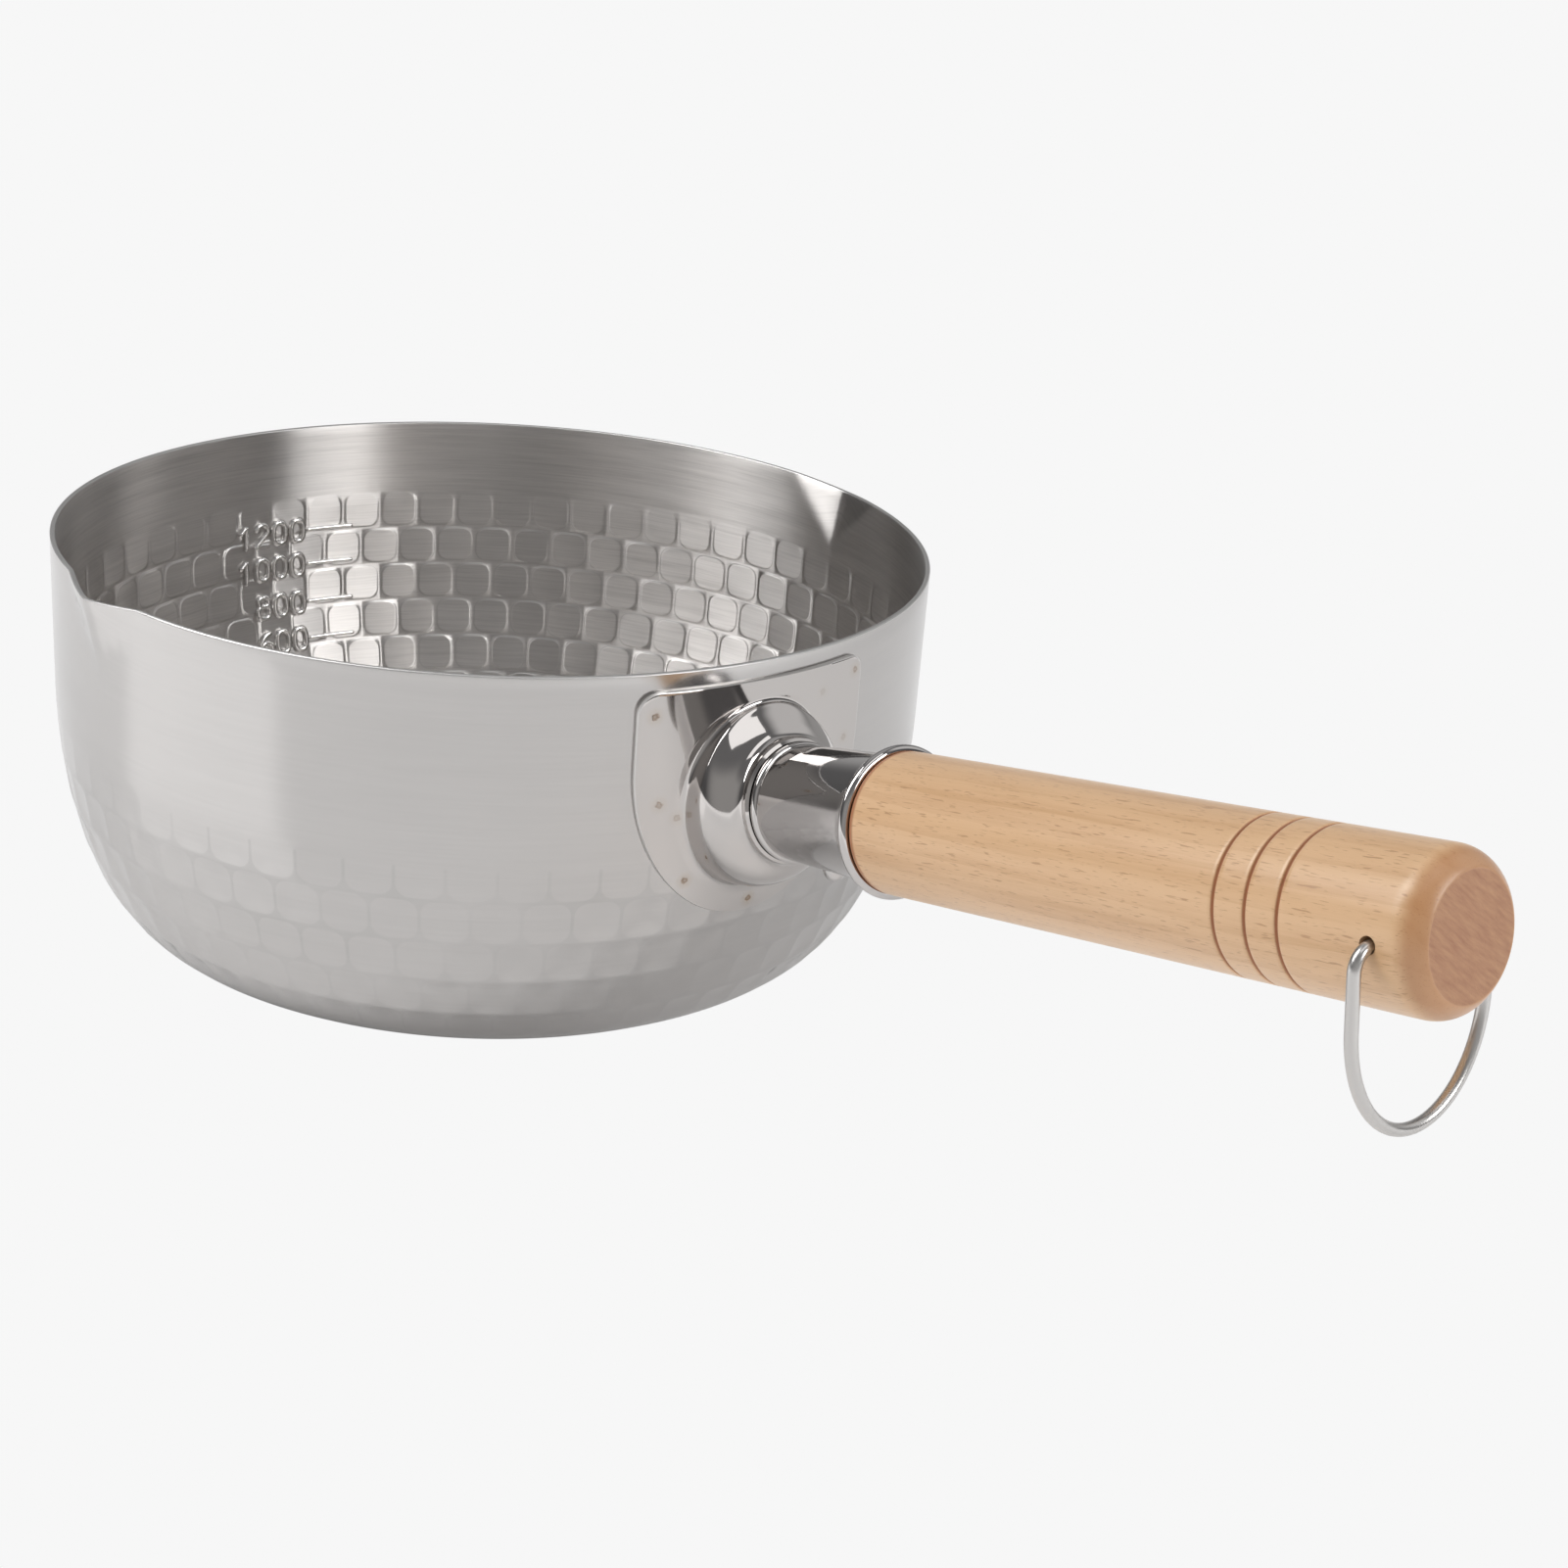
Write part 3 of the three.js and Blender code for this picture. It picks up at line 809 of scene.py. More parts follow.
class Skin:
    """Points and faces of a piece while it is being made, in millimetres."""

    def __init__(self) -> None:
        """Starts with nothing."""
        self.points: list[np.ndarray] = []
        self.faces: list[list[int]] = []
        self.kinds: list[int] = []
        self.count = 0

    def place(self, points: np.ndarray) -> np.ndarray:
        """Adds points.

        Args:
            points: places, in any arrangement.

        Returns:
            Their numbers, in the same arrangement.
        """
        shape = points.shape[:-1]
        index = self.count + np.arange(math.prod(shape)).reshape(shape)
        self.points.append(points.reshape(-1, 3))
        self.count += index.size
        return index

    def bridge(self, first: np.ndarray, second: np.ndarray, kind: int | np.ndarray = 0) -> None:
        """Joins closed rings to rings with as many points.

        Args:
            first: the numbers of the points of one ring, or of one in each row.
            second: those of the ring or rings to join them to.
            kind: the faces' material, for all or for each.
        """
        quads = np.stack([first, np.roll(first, -1, -1), np.roll(second, -1, -1), second], axis=-1)
        self.faces += quads.reshape(-1, 4).tolist()
        self.kinds += np.broadcast_to(kind, first.shape).ravel().tolist()

    def fan(self, ring: np.ndarray, hub: np.ndarray, kind: int = 0) -> None:
        """Closes rings, each with a fan.

        Args:
            ring: the numbers of the points of one ring, or of one in each row.
            hub: the number of the point in the middle of each.
            kind: the faces' material.
        """
        middle = np.broadcast_to(hub[..., None], ring.shape)
        self.faces += np.stack([ring, np.roll(ring, -1, -1), middle], axis=-1).reshape(-1, 3).tolist()
        self.kinds += [kind] * ring.size

    def add(self, rings: np.ndarray, closed: bool = False, kinds: np.ndarray | None = None) -> np.ndarray:
        """Adds a tube-like grid, closed round its columns.

        Args:
            rings: points by row and column.
            closed: whether the last row joins the first.
            kinds: each row's material, for the faces from it to the next row.

        Returns:
            The numbers of the points, by row and column.
        """
        index = self.place(rings)
        row_kinds = np.zeros(len(rings), int) if kinds is None else kinds
        self.bridge(index[:-1], index[1:], row_kinds[: len(rings) - 1, None])
        if closed:
            self.bridge(index[-1], index[0], row_kinds[-1])
        return index

    def cap(self, ring: np.ndarray, kind: int = 0) -> None:
        """Closes a ring with a fan about its middle."""
        self.fan(ring, self.place(np.concatenate(self.points)[ring].mean(axis=0)), kind)

    def rod(self, rings: np.ndarray) -> Skin:
        """Adds a grid with both its ends closed.

        Args:
            rings: points by row and column.

        Returns:
            The skin itself.
        """
        index = self.add(rings)
        self.cap(index[0])
        self.cap(index[-1])
        return self

    def mesh(self, name: str) -> bpy.types.Mesh:
        """Turns the skin into a mesh in metres, smooth but for its sharp edges.

        Args:
            name: the mesh's name.

        Returns:
            The mesh, its faces outwards.
        """
        made = bpy.data.meshes.new(name)
        points = np.concatenate(self.points) * MM
        made.from_pydata(points.tolist(), [], self.faces)
        made.polygons.foreach_set("material_index", np.array(self.kinds, np.int32))
        work = bmesh.new()
        work.from_mesh(made)
        bmesh.ops.recalc_face_normals(work, faces=work.faces)
        work.to_mesh(made)
        work.free()
        made.shade_smooth()
        made.set_sharp_from_angle(angle=SHARP_ANGLE)
        return made


def add_object(name: str, data: bpy.types.ID) -> bpy.types.Object:
    """Puts a mesh, light or camera in the scene.

    Args:
        name: the object's name.
        data: the mesh, light or camera.

    Returns:
        The object.
    """
    made = bpy.data.objects.new(name, data)
    bpy.context.scene.collection.objects.link(made)
    return made


def add_piece(
    mesh: bpy.types.Mesh,
    materials: Sequence[bpy.types.Material],
    body: Body = Body.POT,
    node: str | None = None,
    place: Matrix | None = None,
) -> bpy.types.Object:
    """Puts a mesh in the scene as a piece of the pot.

    Args:
        mesh: the piece's mesh, whose name the piece takes.
        materials: its materials, in the order of its faces' numbers.
        body: the body that it rides on.
        node: the solid that it stands for.
        place: where its own frame is.

    Returns:
        The piece.
    """
    piece = add_object(mesh.name, mesh)
    for material in materials:
        mesh.materials.append(material)
    if place is not None:
        piece.matrix_world = place
    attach(piece, body.value)
    if node is not None:
        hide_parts(node)
    LOG.info("%s: %d faces, rides on %s", piece.name, len(mesh.polygons), body.value)
    return piece


# Bowl


@dataclass
class HammerMarks:
    """Rows of flattened marks with grooves between them, each row half a mark on from the last."""

    rim_radius: float
    marks_round: int = 60
    row_height: float = 9.1
    rows: int = 7
    first_row: float = 16.8
    turn: float = 1.2
    corner: float = 2.9
    gap: float = 0.3
    shoulder: float = 0.24
    groove: float = 0.065
    flat: float = 0.12
    tilt: float = 0.07
    fade_in: Pair = (-0.5, 3.5)
    fade_out: float = 4.0
    seed: int = 7
    edge_places: tuple[float, ...] = (0, 0.21, 0.5, 0.79)
    side_places: tuple[float, ...] = (0, 0.11, 0.26, 0.74, 0.89)

    @property
    def pitch(self) -> float:
        """Length of a mark round the wall."""
        return 2 * math.pi * self.rim_radius / self.marks_round

    @property
    def half_turn(self) -> float:
        """Angle of half a mark round the axis."""
        return math.pi / self.marks_round

    @property
    def middle(self) -> np.ndarray:
        """Middle of a mark laid flat, from its upper left corner."""
        return np.array([self.pitch, self.row_height]) / 2

    def columns(self) -> np.ndarray:
        """Angles of the points along the edge between two rows of marks."""
        halves = np.arange(2 * self.marks_round)[:, None] + np.array(self.edge_places)
        return self.angle(halves.ravel())

    def angle(self, halves: np.ndarray) -> np.ndarray:
        """Angles round the axis of places counted in half marks."""
        return halves * self.half_turn + math.radians(self.turn)

    def runs(self, first: int) -> np.ndarray:
        """Runs of the edges between the rows."""
        return self.first_row + self.row_height * np.arange(first, self.rows + 1)

    def outline(self) -> np.ndarray:
        """The points round one mark, laid flat.

        Returns:
            Distances along and down from its upper left corner, going by its upper right one.
        """
        along = (np.arange(2)[:, None] + np.array(self.edge_places)).ravel() * self.pitch / 2
        down = np.array(self.side_places) * self.row_height
        top = np.stack([along, np.zeros(len(along))], axis=1)
        right = np.stack([np.full(len(down), self.pitch), down], axis=1)
        return np.concatenate([top, right, 2 * self.middle - top, 2 * self.middle - right])

    def inset(self, depth: float) -> np.ndarray:
        """The outline of a mark moved inwards and rounded at its corners.

        Args:
            depth: how far it is moved, less than the corners' radius.

        Returns:
            Distances along and down, one for each point of the outline.
        """
        off = self.outline() - self.middle
        side = self.middle - np.abs(off)
        share = np.clip((self.corner - side[:, 0] + side[:, 1]) / (2 * self.corner), 0, 1)
        turn = share * math.pi / 2
        arm = (self.corner - depth) * np.stack([np.sin(turn), np.cos(turn)], axis=1)
        in_corner = (side <= self.corner + self.gap).all(axis=1, keepdims=True)
        moved = np.where(in_corner, self.middle - self.corner + arm, self.middle - np.maximum(side, depth))
        return self.middle + np.sign(off) * moved

    def relief(self, angle: np.ndarray, run: np.ndarray) -> np.ndarray:
        """How far the marks stand in from the plain wall.

        Args:
            angle: angles round the axis, in radians.
            run: runs.

        Returns:
            The rise, by place.
        """
        marks = (angle - math.radians(self.turn)) / (2 * self.half_turn)
        down = run - self.first_row
        row = np.floor(down / self.row_height)
        across = marks - 0.5 * (row % 2)
        mark = np.round(across)
        across = across - mark
        upward = down / self.row_height - row - 0.5
        gap_x = np.abs(across) * self.pitch - (self.pitch / 2 - self.corner)
        gap_y = np.abs(upward) * self.row_height - (self.row_height / 2 - self.corner)
        outside = np.hypot(np.maximum(gap_x, 0), np.maximum(gap_y, 0))
        inward = self.corner - self.gap - outside - np.minimum(np.maximum(gap_x, gap_y), 0)
        edge = (1 - np.clip(inward / self.shoulder, 0, 1)) ** 2
        lean = np.random.default_rng(self.seed).uniform(-1, 1, (2, self.rows + 2, self.marks_round))
        pick = np.clip(row.astype(int) + 1, 0, self.rows + 1), mark.astype(int) % self.marks_round
        tilt = self.tilt * (lean[0][pick] * across + lean[1][pick] * upward) * 2
        rise = (self.flat * (1 - 4 * across**2) + tilt) * (1 - edge) - self.groove * edge
        last = self.rows * self.row_height
        fade = smooth_step(down, *self.fade_in)
        return rise * fade * (1 - smooth_step(down, last - self.fade_out, last))


@dataclass(frozen=True)
class WallSide:
    """One side of the bowl's wall and how its marks are made.

    The inset is 0 outside. The depths are those of the rings of points in from a mark's outline, and the
    shade strip is the number of the ring of faces that takes the darker finish of painted shade.
    """

    inset: float
    flat: Face
    seam: Face
    depths: tuple[float, ...]
    painted_shade_strip: int
    first_row: int = 0
    relief: float = 1.0
    fade_in: Pair | None = None


@dataclass
class Bowl:
    """The drawn bowl with its hammered wall and two pouring lips."""

    rim_radius: float
    height: float
    marks: HammerMarks
    wall: float = 1.0
    base_radius: float = 70.0
    corner_height: float = 50.0
    corner_steps: int = 400
    lip_angle: float = 88.0
    lip_reach: float = 2.6
    lip_dip: float = 1.2
    lip_half_width: float = 13.0
    lip_depth: float = 15.0
    lip_softness: float = 1.3
    rim_round: float = 0.35
    rim_turn: Pair = (155.0, 25.0)
    rim_steps: int = 4
    inner_top_rows: int = 9
    outer_top_rows: int = 11
    corner_rows: int = 5
    corner_margin: float = 0.5
    floor_rings: tuple[float, ...] = (0.1, 0.5, 0.9)
    groove_margin: float = 2.4
    look_ahead: float = 0.05
    inner_depths: tuple[float, ...] = (0.3, 0.54, 0.95, 2.1)
    outer_depths: tuple[float, ...] = (0.3, 0.8)
    outer_first_row: int = 2
    outer_relief: float = 0.65
    outer_fade_in: Pair = (33.0, 49.5)

    @property
    def inner(self) -> WallSide:
        """The inside of the wall."""
        return WallSide(self.wall, Face.INSIDE, Face.GROOVE, self.inner_depths, painted_shade_strip=1)

    @property
    def outer(self) -> WallSide:
        """The outside of the wall, where the marks are fainter and start lower."""
        return WallSide(
            0.0,
            Face.OUTSIDE,
            Face.SEAM,
            self.outer_depths,
            painted_shade_strip=0,
            first_row=self.outer_first_row,
            relief=self.outer_relief,
            fade_in=self.outer_fade_in,
        )

    def radius(self, z: float, inset: float = 0.0) -> float:
        """Radius of the plain wall at a height, inset from the outside."""
        below = min(max((self.corner_height - z) / (self.corner_height - inset), 0), 1)
        return self.base_radius + (self.rim_radius - inset - self.base_radius) * math.sqrt(1 - below**2)

    def _section(self, inset: float) -> np.ndarray:
        """The line of the plain wall.

        Args:
            inset: distance in from the outside.

        Returns:
            (radius, height) points, from the rim to the middle of the base.
        """
        radii = (self.rim_radius - inset - self.base_radius, inset - self.corner_height)
        corner = arc((self.base_radius, self.corner_height), radii, 0, 90, self.corner_steps)
        return np.concatenate([[[self.rim_radius - inset, self.height]], corner, [[0.0, inset]]])

    def _press_lips(self, points: np.ndarray) -> np.ndarray:
        """Presses the pouring lips out of the rim.

        Args:
            points: places on the wall.

        Returns:
            The moved places.
        """
        x, y, z = points[..., 0], points[..., 1], points[..., 2]
        size = np.maximum(1 - (self.height - z) / self.lip_depth, TINY)
        turn = np.arctan2(y, x)
        off_axis = np.abs(np.abs(turn) - math.radians(self.lip_angle)) * self.rim_radius / size
        fall = np.hypot(off_axis, self.lip_softness) - self.lip_softness
        share = size * np.maximum(0, 1 - fall / self.lip_half_width) * (size > TINY)
        grow = 1 + self.lip_reach * share / np.maximum(np.hypot(x, y), TINY)
        return np.stack([x * grow, y * grow, z - self.lip_dip * share], axis=-1)

    def _on_wall(self, angle: np.ndarray, run: np.ndarray, side: WallSide) -> np.ndarray:
        """Places on one side of the wall, with the hammer marks and the lips.

        Args:
            angle: angles round the axis.
            run: runs.
            side: the side of the wall.

        Returns:
            The places, arranged as the angles and runs are together.
        """
        angle, run = np.broadcast_arrays(angle, run)
        section = self._section(side.inset)
        points = along_line(section, run.ravel())
        facing = right_of(unit(along_line(section, run.ravel() + self.look_ahead) - points))
        relief = self.marks.relief(angle, run) * side.relief
        if side.fade_in is not None:
            relief = relief * smooth_step(run, *side.fade_in)
        moved = (points + facing * relief.reshape(-1, 1)).reshape(*run.shape, 2)
        return self._press_lips(upright(moved[..., 0], angle, moved[..., 1]))

    def _hammer(self, skin: Skin, side: WallSide) -> tuple[np.ndarray, np.ndarray]:
        """Adds the hammered stretch of one side of the wall, mark by mark.

        Args:
            skin: the bowl's skin.
            side: the side of the wall.

        Returns:
            The numbers of the points along the upper and the lower edge.
        """
        marks = self.marks
        outline = marks.outline()
        flats = [marks.inset(depth) for depth in side.depths]
        columns, runs = marks.columns(), marks.runs(side.first_row)
        lines = skin.place(self._on_wall(columns, runs[:, None], side))
        per_half = len(marks.edge_places)
        step = np.arange(2 * per_half + 1)
        for row, (above, below, run) in enumerate(zip(lines, lines[1:], runs), side.first_row):
            start = 2 * np.arange(marks.marks_round)[:, None] + 1 - row % 2
            begin = start * per_half
            down = run + np.array(marks.side_places[1:]) * marks.row_height
            ends = skin.place(self._on_wall(marks.angle(start), down, side))
            top = above.take(begin + step, mode="wrap")
            bottom = below.take(begin + step[::-1], mode="wrap")
            ring = np.concatenate([top, np.roll(ends, -1, axis=0), bottom, ends[:, ::-1]], axis=1)
            depth = run + (outline[:, 1] + np.roll(outline[:, 1], -1)) / 2
            cut = (depth > runs[0] + self.groove_margin) & (depth < runs[-1] - self.groove_margin)
            for strip, flat in enumerate(flats):
                angle = marks.angle(start + 2 * flat[:, 0] / marks.pitch)
                inner = skin.place(self._on_wall(angle, run + flat[:, 1], side))
                # This strip takes the darker finish of painted shade, away from the top and bottom of the
                # hammered stretch.
                seam = cut & (strip == side.painted_shade_strip)
                skin.bridge(ring, inner, np.where(seam, side.seam.value, side.flat.value))
                ring = inner
            middle = self._on_wall(marks.angle(start[:, 0] + 1), run + marks.middle[1], side)
            skin.fan(ring, skin.place(middle), side.flat.value)
        return lines[0], lines[-1]

    def _rim(self, angle: np.ndarray) -> np.ndarray:
        """Rings over the rounded cut edge, from the inside to the outside.

        Args:
            angle: angles of the columns.

        Returns:
            Points by row and column.
        """
        middle = (self.rim_radius - self.wall / 2, self.height - self.rim_round)
        edge = arc(middle, (self.wall / 2, self.rim_round), *self.rim_turn, self.rim_steps)
        return self._press_lips(upright(edge[:, :1], angle, edge[:, 1:]))

    def _floor(self, skin: Skin, line: np.ndarray, side: WallSide) -> None:
        """Closes one side of the bowl below its marks.

        Args:
            skin: the bowl's skin.
            line: the numbers of the points along the marks' lower edge.
            side: the side of the wall.
        """
        kind = side.flat.value
        corner = distances(self._section(side.inset))[-2]
        runs = np.linspace(self.marks.runs(0)[-1], corner + self.corner_margin, self.corner_rows)[1:]
        runs = np.concatenate([runs, corner + np.array(self.floor_rings) * self.base_radius])
        base = self._on_wall(self.marks.columns(), runs[:, None], side)
        lower = skin.add(base, kinds=np.full(len(base), kind))
        skin.bridge(line, lower[0], kind)
        skin.cap(lower[-1], kind)

    def build(self) -> None:
        """Builds and dresses the bowl."""
        columns, skin, inner, outer = self.marks.columns(), Skin(), self.inner, self.outer
        inner_top, inner_bottom = self._hammer(skin, inner)
        outer_top, outer_bottom = self._hammer(skin, outer)
        first_run = self.marks.runs(outer.first_row)[0]
        inside_runs = np.linspace(self.marks.first_row, self.rim_round, self.inner_top_rows)[1:]
        outside_runs = np.linspace(self.rim_round, first_run, self.outer_top_rows)[:-1]
        inside = self._on_wall(columns, inside_runs[:, None], inner)
        edge = self._rim(columns)
        outside = self._on_wall(columns, outside_runs[:, None], outer)
        faces = [Face.INSIDE] * (len(inside) - 1) + [Face.EDGE] * (len(edge) + 1)
        faces += [Face.OUTSIDE] * len(outside)
        kinds = np.array([face.value for face in faces])
        upper = skin.add(np.concatenate([inside, edge, outside]), kinds=kinds)
        skin.bridge(inner_top, upper[0], Face.INSIDE.value)
        skin.bridge(upper[-1], outer_top, Face.OUTSIDE.value)
        self._floor(skin, inner_bottom, inner)
        self._floor(skin, outer_bottom, outer)
        finishes = {
            Face.OUTSIDE: OUTSIDE_STEEL,
            Face.EDGE: CUT_EDGE,
            Face.INSIDE: INSIDE_STEEL,
            Face.GROOVE: GROOVE_SHADE_STEEL,
            Face.SEAM: SEAM_SHADE_STEEL,
        }
        materials = [finishes[face].material() for face in Face]
        add_piece(skin.mesh("bowl"), materials, node="pot_body")


@dataclass
class VolumeScale:
    """Raised numerals and strokes inside the wall that show how much water is in the bowl."""

    bowl: Bowl
    marks: tuple[tuple[str, float], ...] = (("1200", 56.4), ("1000", 47.9), ("800", 38.6), ("600", 29.7))
    numerals_from: float = 190.2
    stroke_from: float = 178.1
    stroke_to: float = 171.0
    stroke_points: int = 24
    numeral_size: Pair = (3.2, 5.1)
    numeral_pitch: float = 4.75
    line_radius: float = 0.76
    stroke_radius: float = 0.55
    proud: float = 0.24
    point_step: float = 0.25
    sides: int = 10
    places: int = 4

    @staticmethod
    def strokes(numeral: str) -> list[np.ndarray]:
        """The lines that a numeral is drawn with.

        Args:
            numeral: one of 0, 1, 2, 6 and 8, or a space.

        Returns:
            Lines in a box of width and height 1, with its lower left corner at 0.
        """
        circle = arc((0, 0), (1, 1), 90, 450, 28)
        oval = np.sign(circle) * np.abs(circle) ** 0.75
        lower = [0.5, 0.29] + [0.5, 0.29] * oval
        upper = [0.5, 0.78] + [0.42, 0.22] * oval
        flag = np.array([[0.15, 0.74], [0.58, 1.0], [0.58, 0.0]])
        bow = arc((0.5, 0.71), (0.48, 0.29), 165, -38, 16)
        two = np.concatenate([bow, [[0.0, 0.0], [1.0, 0.0]]])
        back = arc((0.95, 0.3), (0.93, 0.7), 96, 178, 12)
        six = np.concatenate([back, arc((0.5, 0.29), (0.48, 0.29), 180, 540, 24)])
        lines = {" ": [], "0": [0.5 + 0.5 * oval], "1": [flag], "2": [two], "6": [six], "8": [lower, upper]}
        return lines[numeral]

    def _on_wall(self, along: np.ndarray, height: np.ndarray) -> np.ndarray:
        """Places on the inside of the wall, by angle from the handle in degrees and by height."""
        radius = np.array([self.bowl.radius(z, self.bowl.wall) for z in height]) - self.proud
        return upright(radius, np.radians(along), height)

    def _even(self, line: np.ndarray) -> np.ndarray:
        """A line with points at even steps."""
        length = distances(line)[-1]
        return along_line(line, np.linspace(0, length, max(3, round(length / self.point_step) + 1)))

    def build(self) -> None:
        """Builds and dresses the scale."""
        skin = Skin()
        per_mm = math.degrees(1 / (self.bowl.rim_radius - self.bowl.wall))
        stroke = np.linspace(self.stroke_from, self.stroke_to, self.stroke_points)
        for text, height in self.marks:
            for i, numeral in enumerate(text.rjust(self.places)):
                for line in self.strokes(numeral):
                    flat = self._even(line * self.numeral_size)
                    along = self.numerals_from - (flat[:, 0] + i * self.numeral_pitch) * per_mm
                    path = self._on_wall(along, height + flat[:, 1] - self.numeral_size[1] / 2)
                    skin.rod(swept(path, self.line_radius, self.sides))
            path = self._on_wall(stroke, np.full(len(stroke), height))
            skin.rod(swept(path, self.stroke_radius, self.sides))
        add_piece(skin.mesh("volume_scale"), [RAISED_SCALE_HIGHLIGHT.material()])


# Handle


@dataclass
class HandleAxis:
    """The handle's axis, found from the hinge of its loop."""

    hinge: Vector
    tilt: float = 13.2
    hole_station: float = 150.5

    @property
    def direction(self) -> Vector:
        """The way the handle points."""
        turn = math.radians(self.tilt)
        return Vector((math.cos(turn), 0.0, math.sin(turn)))

    @property
    def start(self) -> Vector:
        """Where the axis meets the bowl's wall, in millimetres."""
        return self.hinge - self.direction * self.hole_station

    def frame(self) -> Matrix:
        """The axis as +Z of a frame in metres, with +X down."""
        turn = Matrix.Rotation(math.radians(90 - self.tilt), 4, "Y")
        return Matrix.Translation(self.start * MM) @ turn


@dataclass
class Bracket:
    """The pressed plate on the wall with its domed boss and collar."""

    bowl: Bowl
    axis: HandleAxis
    sheet: float = 1.0
    seat: float = 0.05
    top: float = 77.9
    half_width: float = 26.3
    bottom: float = 30.7
    shoulder: float = 8.0
    corner: float = 4.0
    boss_half_width: float = 17.2
    boss_half_height: float = 19.3
    boss_rise: float = 8.2
    boss_flank: Pair = (17.95, 2.4)
    boss_bulge: Pair = (17.2, 6.5)
    boss_crown: Pair = (13.0, 9.1)
    collar_bore: float = 10.65
    collar_round: float = 1.4
    collar_length: float = 3.8
    edge_round: float = 0.25
    lip_round: float = 0.4
    sides: int = 192
    corner_steps: int = 24
    shield_steps: int = 120
    edge_shares: Pair = (0.0, 0.03)
    plate_from: float = 0.08
    plate_rows: int = 14
    curve_steps: int = 14
    collar_rows: int = 5

    def _outline(self) -> np.ndarray:
        """The plate's outline laid flat.

        Returns:
            Even points: the distance round the wall and the height above the axis.
        """
        top = self.top - self.axis.start.z
        inner = self.half_width - self.corner
        depth = self.shoulder + self.axis.start.z - self.bottom
        corner = (self.corner, self.corner)
        line = np.concatenate(
            [
                arc((inner, top - self.corner), corner, 0, 90, self.corner_steps),
                arc((-inner, top - self.corner), corner, 90, 180, self.corner_steps),
                arc((0, self.shoulder), (self.half_width, depth), 180, 360, self.shield_steps),
            ]
        )
        line = np.concatenate([line, line[:1]])
        return along_line(line, np.linspace(0, distances(line)[-1], self.sides, endpoint=False))

    def _boss_profiles(self) -> tuple[np.ndarray, np.ndarray]:
        """The boss's profiles, each stretch leaving the last one without a crease.

        Returns:
            Distances from the axis and rises along it, from the foot to the collar's edge: on the wall
            side and on the visible side.
        """
        flank, bulge, crown = (np.array(p) for p in (self.boss_flank, self.boss_bulge, self.boss_crown))
        plate = self.sheet / math.cos(math.radians(self.axis.tilt))
        collar = self.collar_bore + self.sheet
        turn_in = flank + (flank - bulge) * (flank[1] - plate) / (bulge[1] - flank[1])
        turn_up = crown + (crown - bulge) * (crown[0] - collar) / (bulge[0] - crown[0])
        neck = turn_up + [0.0, self.collar_round]
        collar_edge = (collar, self.boss_rise + self.collar_length)
        steps = self.curve_steps
        outer = np.concatenate(
            [
                curve((self.boss_half_height, plate), turn_in, flank, steps),
                curve(flank, bulge, crown, 2 * steps)[1:],
                curve(crown, turn_up, neck, steps)[1:],
                np.linspace(neck, collar_edge, self.collar_rows)[1:],
            ]
        )
        ahead = unit(np.gradient(outer, distances(outer), axis=0))
        return outer - self.sheet * right_of(ahead), outer

    def _on_plate(self, flat: np.ndarray, rise: float = 0.0) -> np.ndarray:
        """Places on the plate.

        Args:
            flat: distances round the wall and heights above the axis.
            rise: 0 for the wall side, the sheet's thickness for the visible side.

        Returns:
            The places.
        """
        z = self.axis.start.z + flat[..., 1]
        radius = np.vectorize(self.bowl.radius)(z) + self.seat + rise
        return upright(radius, flat[..., 0] / self.bowl.rim_radius, z)

    def _on_boss(self, distance: float, rise: float, turn: np.ndarray) -> np.ndarray:
        """A ring on the boss.

        Args:
            distance: distance from the axis.
            rise: rise along it.
            turn: angles round it.

        Returns:
            The ring. It is an oval on the wall at the foot and square to the axis at the collar.
        """
        lean = float(smooth_step(np.array(rise / self.boss_rise), 0, 1))
        squeeze = self.boss_half_width / self.boss_half_height * (1 - lean) + lean
        across = distance * squeeze * np.cos(turn)
        up = distance * np.sin(turn)
        wall = self._on_plate(np.stack([across, up], axis=-1))
        tilt = math.radians(self.axis.tilt) * lean
        off_flat = (wall[:, 0] - self.axis.start.x) * (1 - lean)
        base = np.array(self.axis.start + self.axis.direction * rise)
        return base + np.stack([off_flat - up * math.sin(tilt), across, up * math.cos(tilt)], axis=-1)

    def build(self) -> None:
        """Builds and dresses the bracket."""
        outline = self._outline()
        oval = np.array([self.boss_half_width, self.boss_half_height])
        turn = math.atan2(outline[0, 1] / oval[1], outline[0, 0] / oval[0]) + around(self.sides)
        foot = np.stack([np.cos(turn), np.sin(turn)], axis=1) * oval
        shares = np.concatenate([self.edge_shares, np.linspace(self.plate_from, 1, self.plate_rows)[:-1]])
        flats = [outline + (foot - outline) * share for share in shares]
        inner, outer = self._boss_profiles()
        near = [self._on_plate(flat) for flat in flats]
        near += [self._on_boss(distance, rise, turn) for distance, rise in inner]
        far = [self._on_plate(flat, self.sheet) for flat in flats[1:]]
        far += [self._on_boss(distance, rise, turn) for distance, rise in outer]
        edge = self._on_plate(outline, self.sheet - self.edge_round)
        lip = (near[-1] + far[-1]) / 2 + np.array(self.axis.direction) * self.lip_round
        rings = np.array([edge, *far, lip, *near[::-1]])
        kinds = np.full(len(rings), PlateFace.POLISH.value)
        kinds[[0, -1]] = PlateFace.EDGE.value
        skin = Skin()
        skin.add(rings, closed=True, kinds=kinds)
        finishes = {PlateFace.POLISH: PLATE_STEEL, PlateFace.EDGE: PLATE_EDGE}
        materials = [finishes[face].material() for face in PlateFace]
        add_piece(skin.mesh("bracket"), materials, node="handle_bracket")


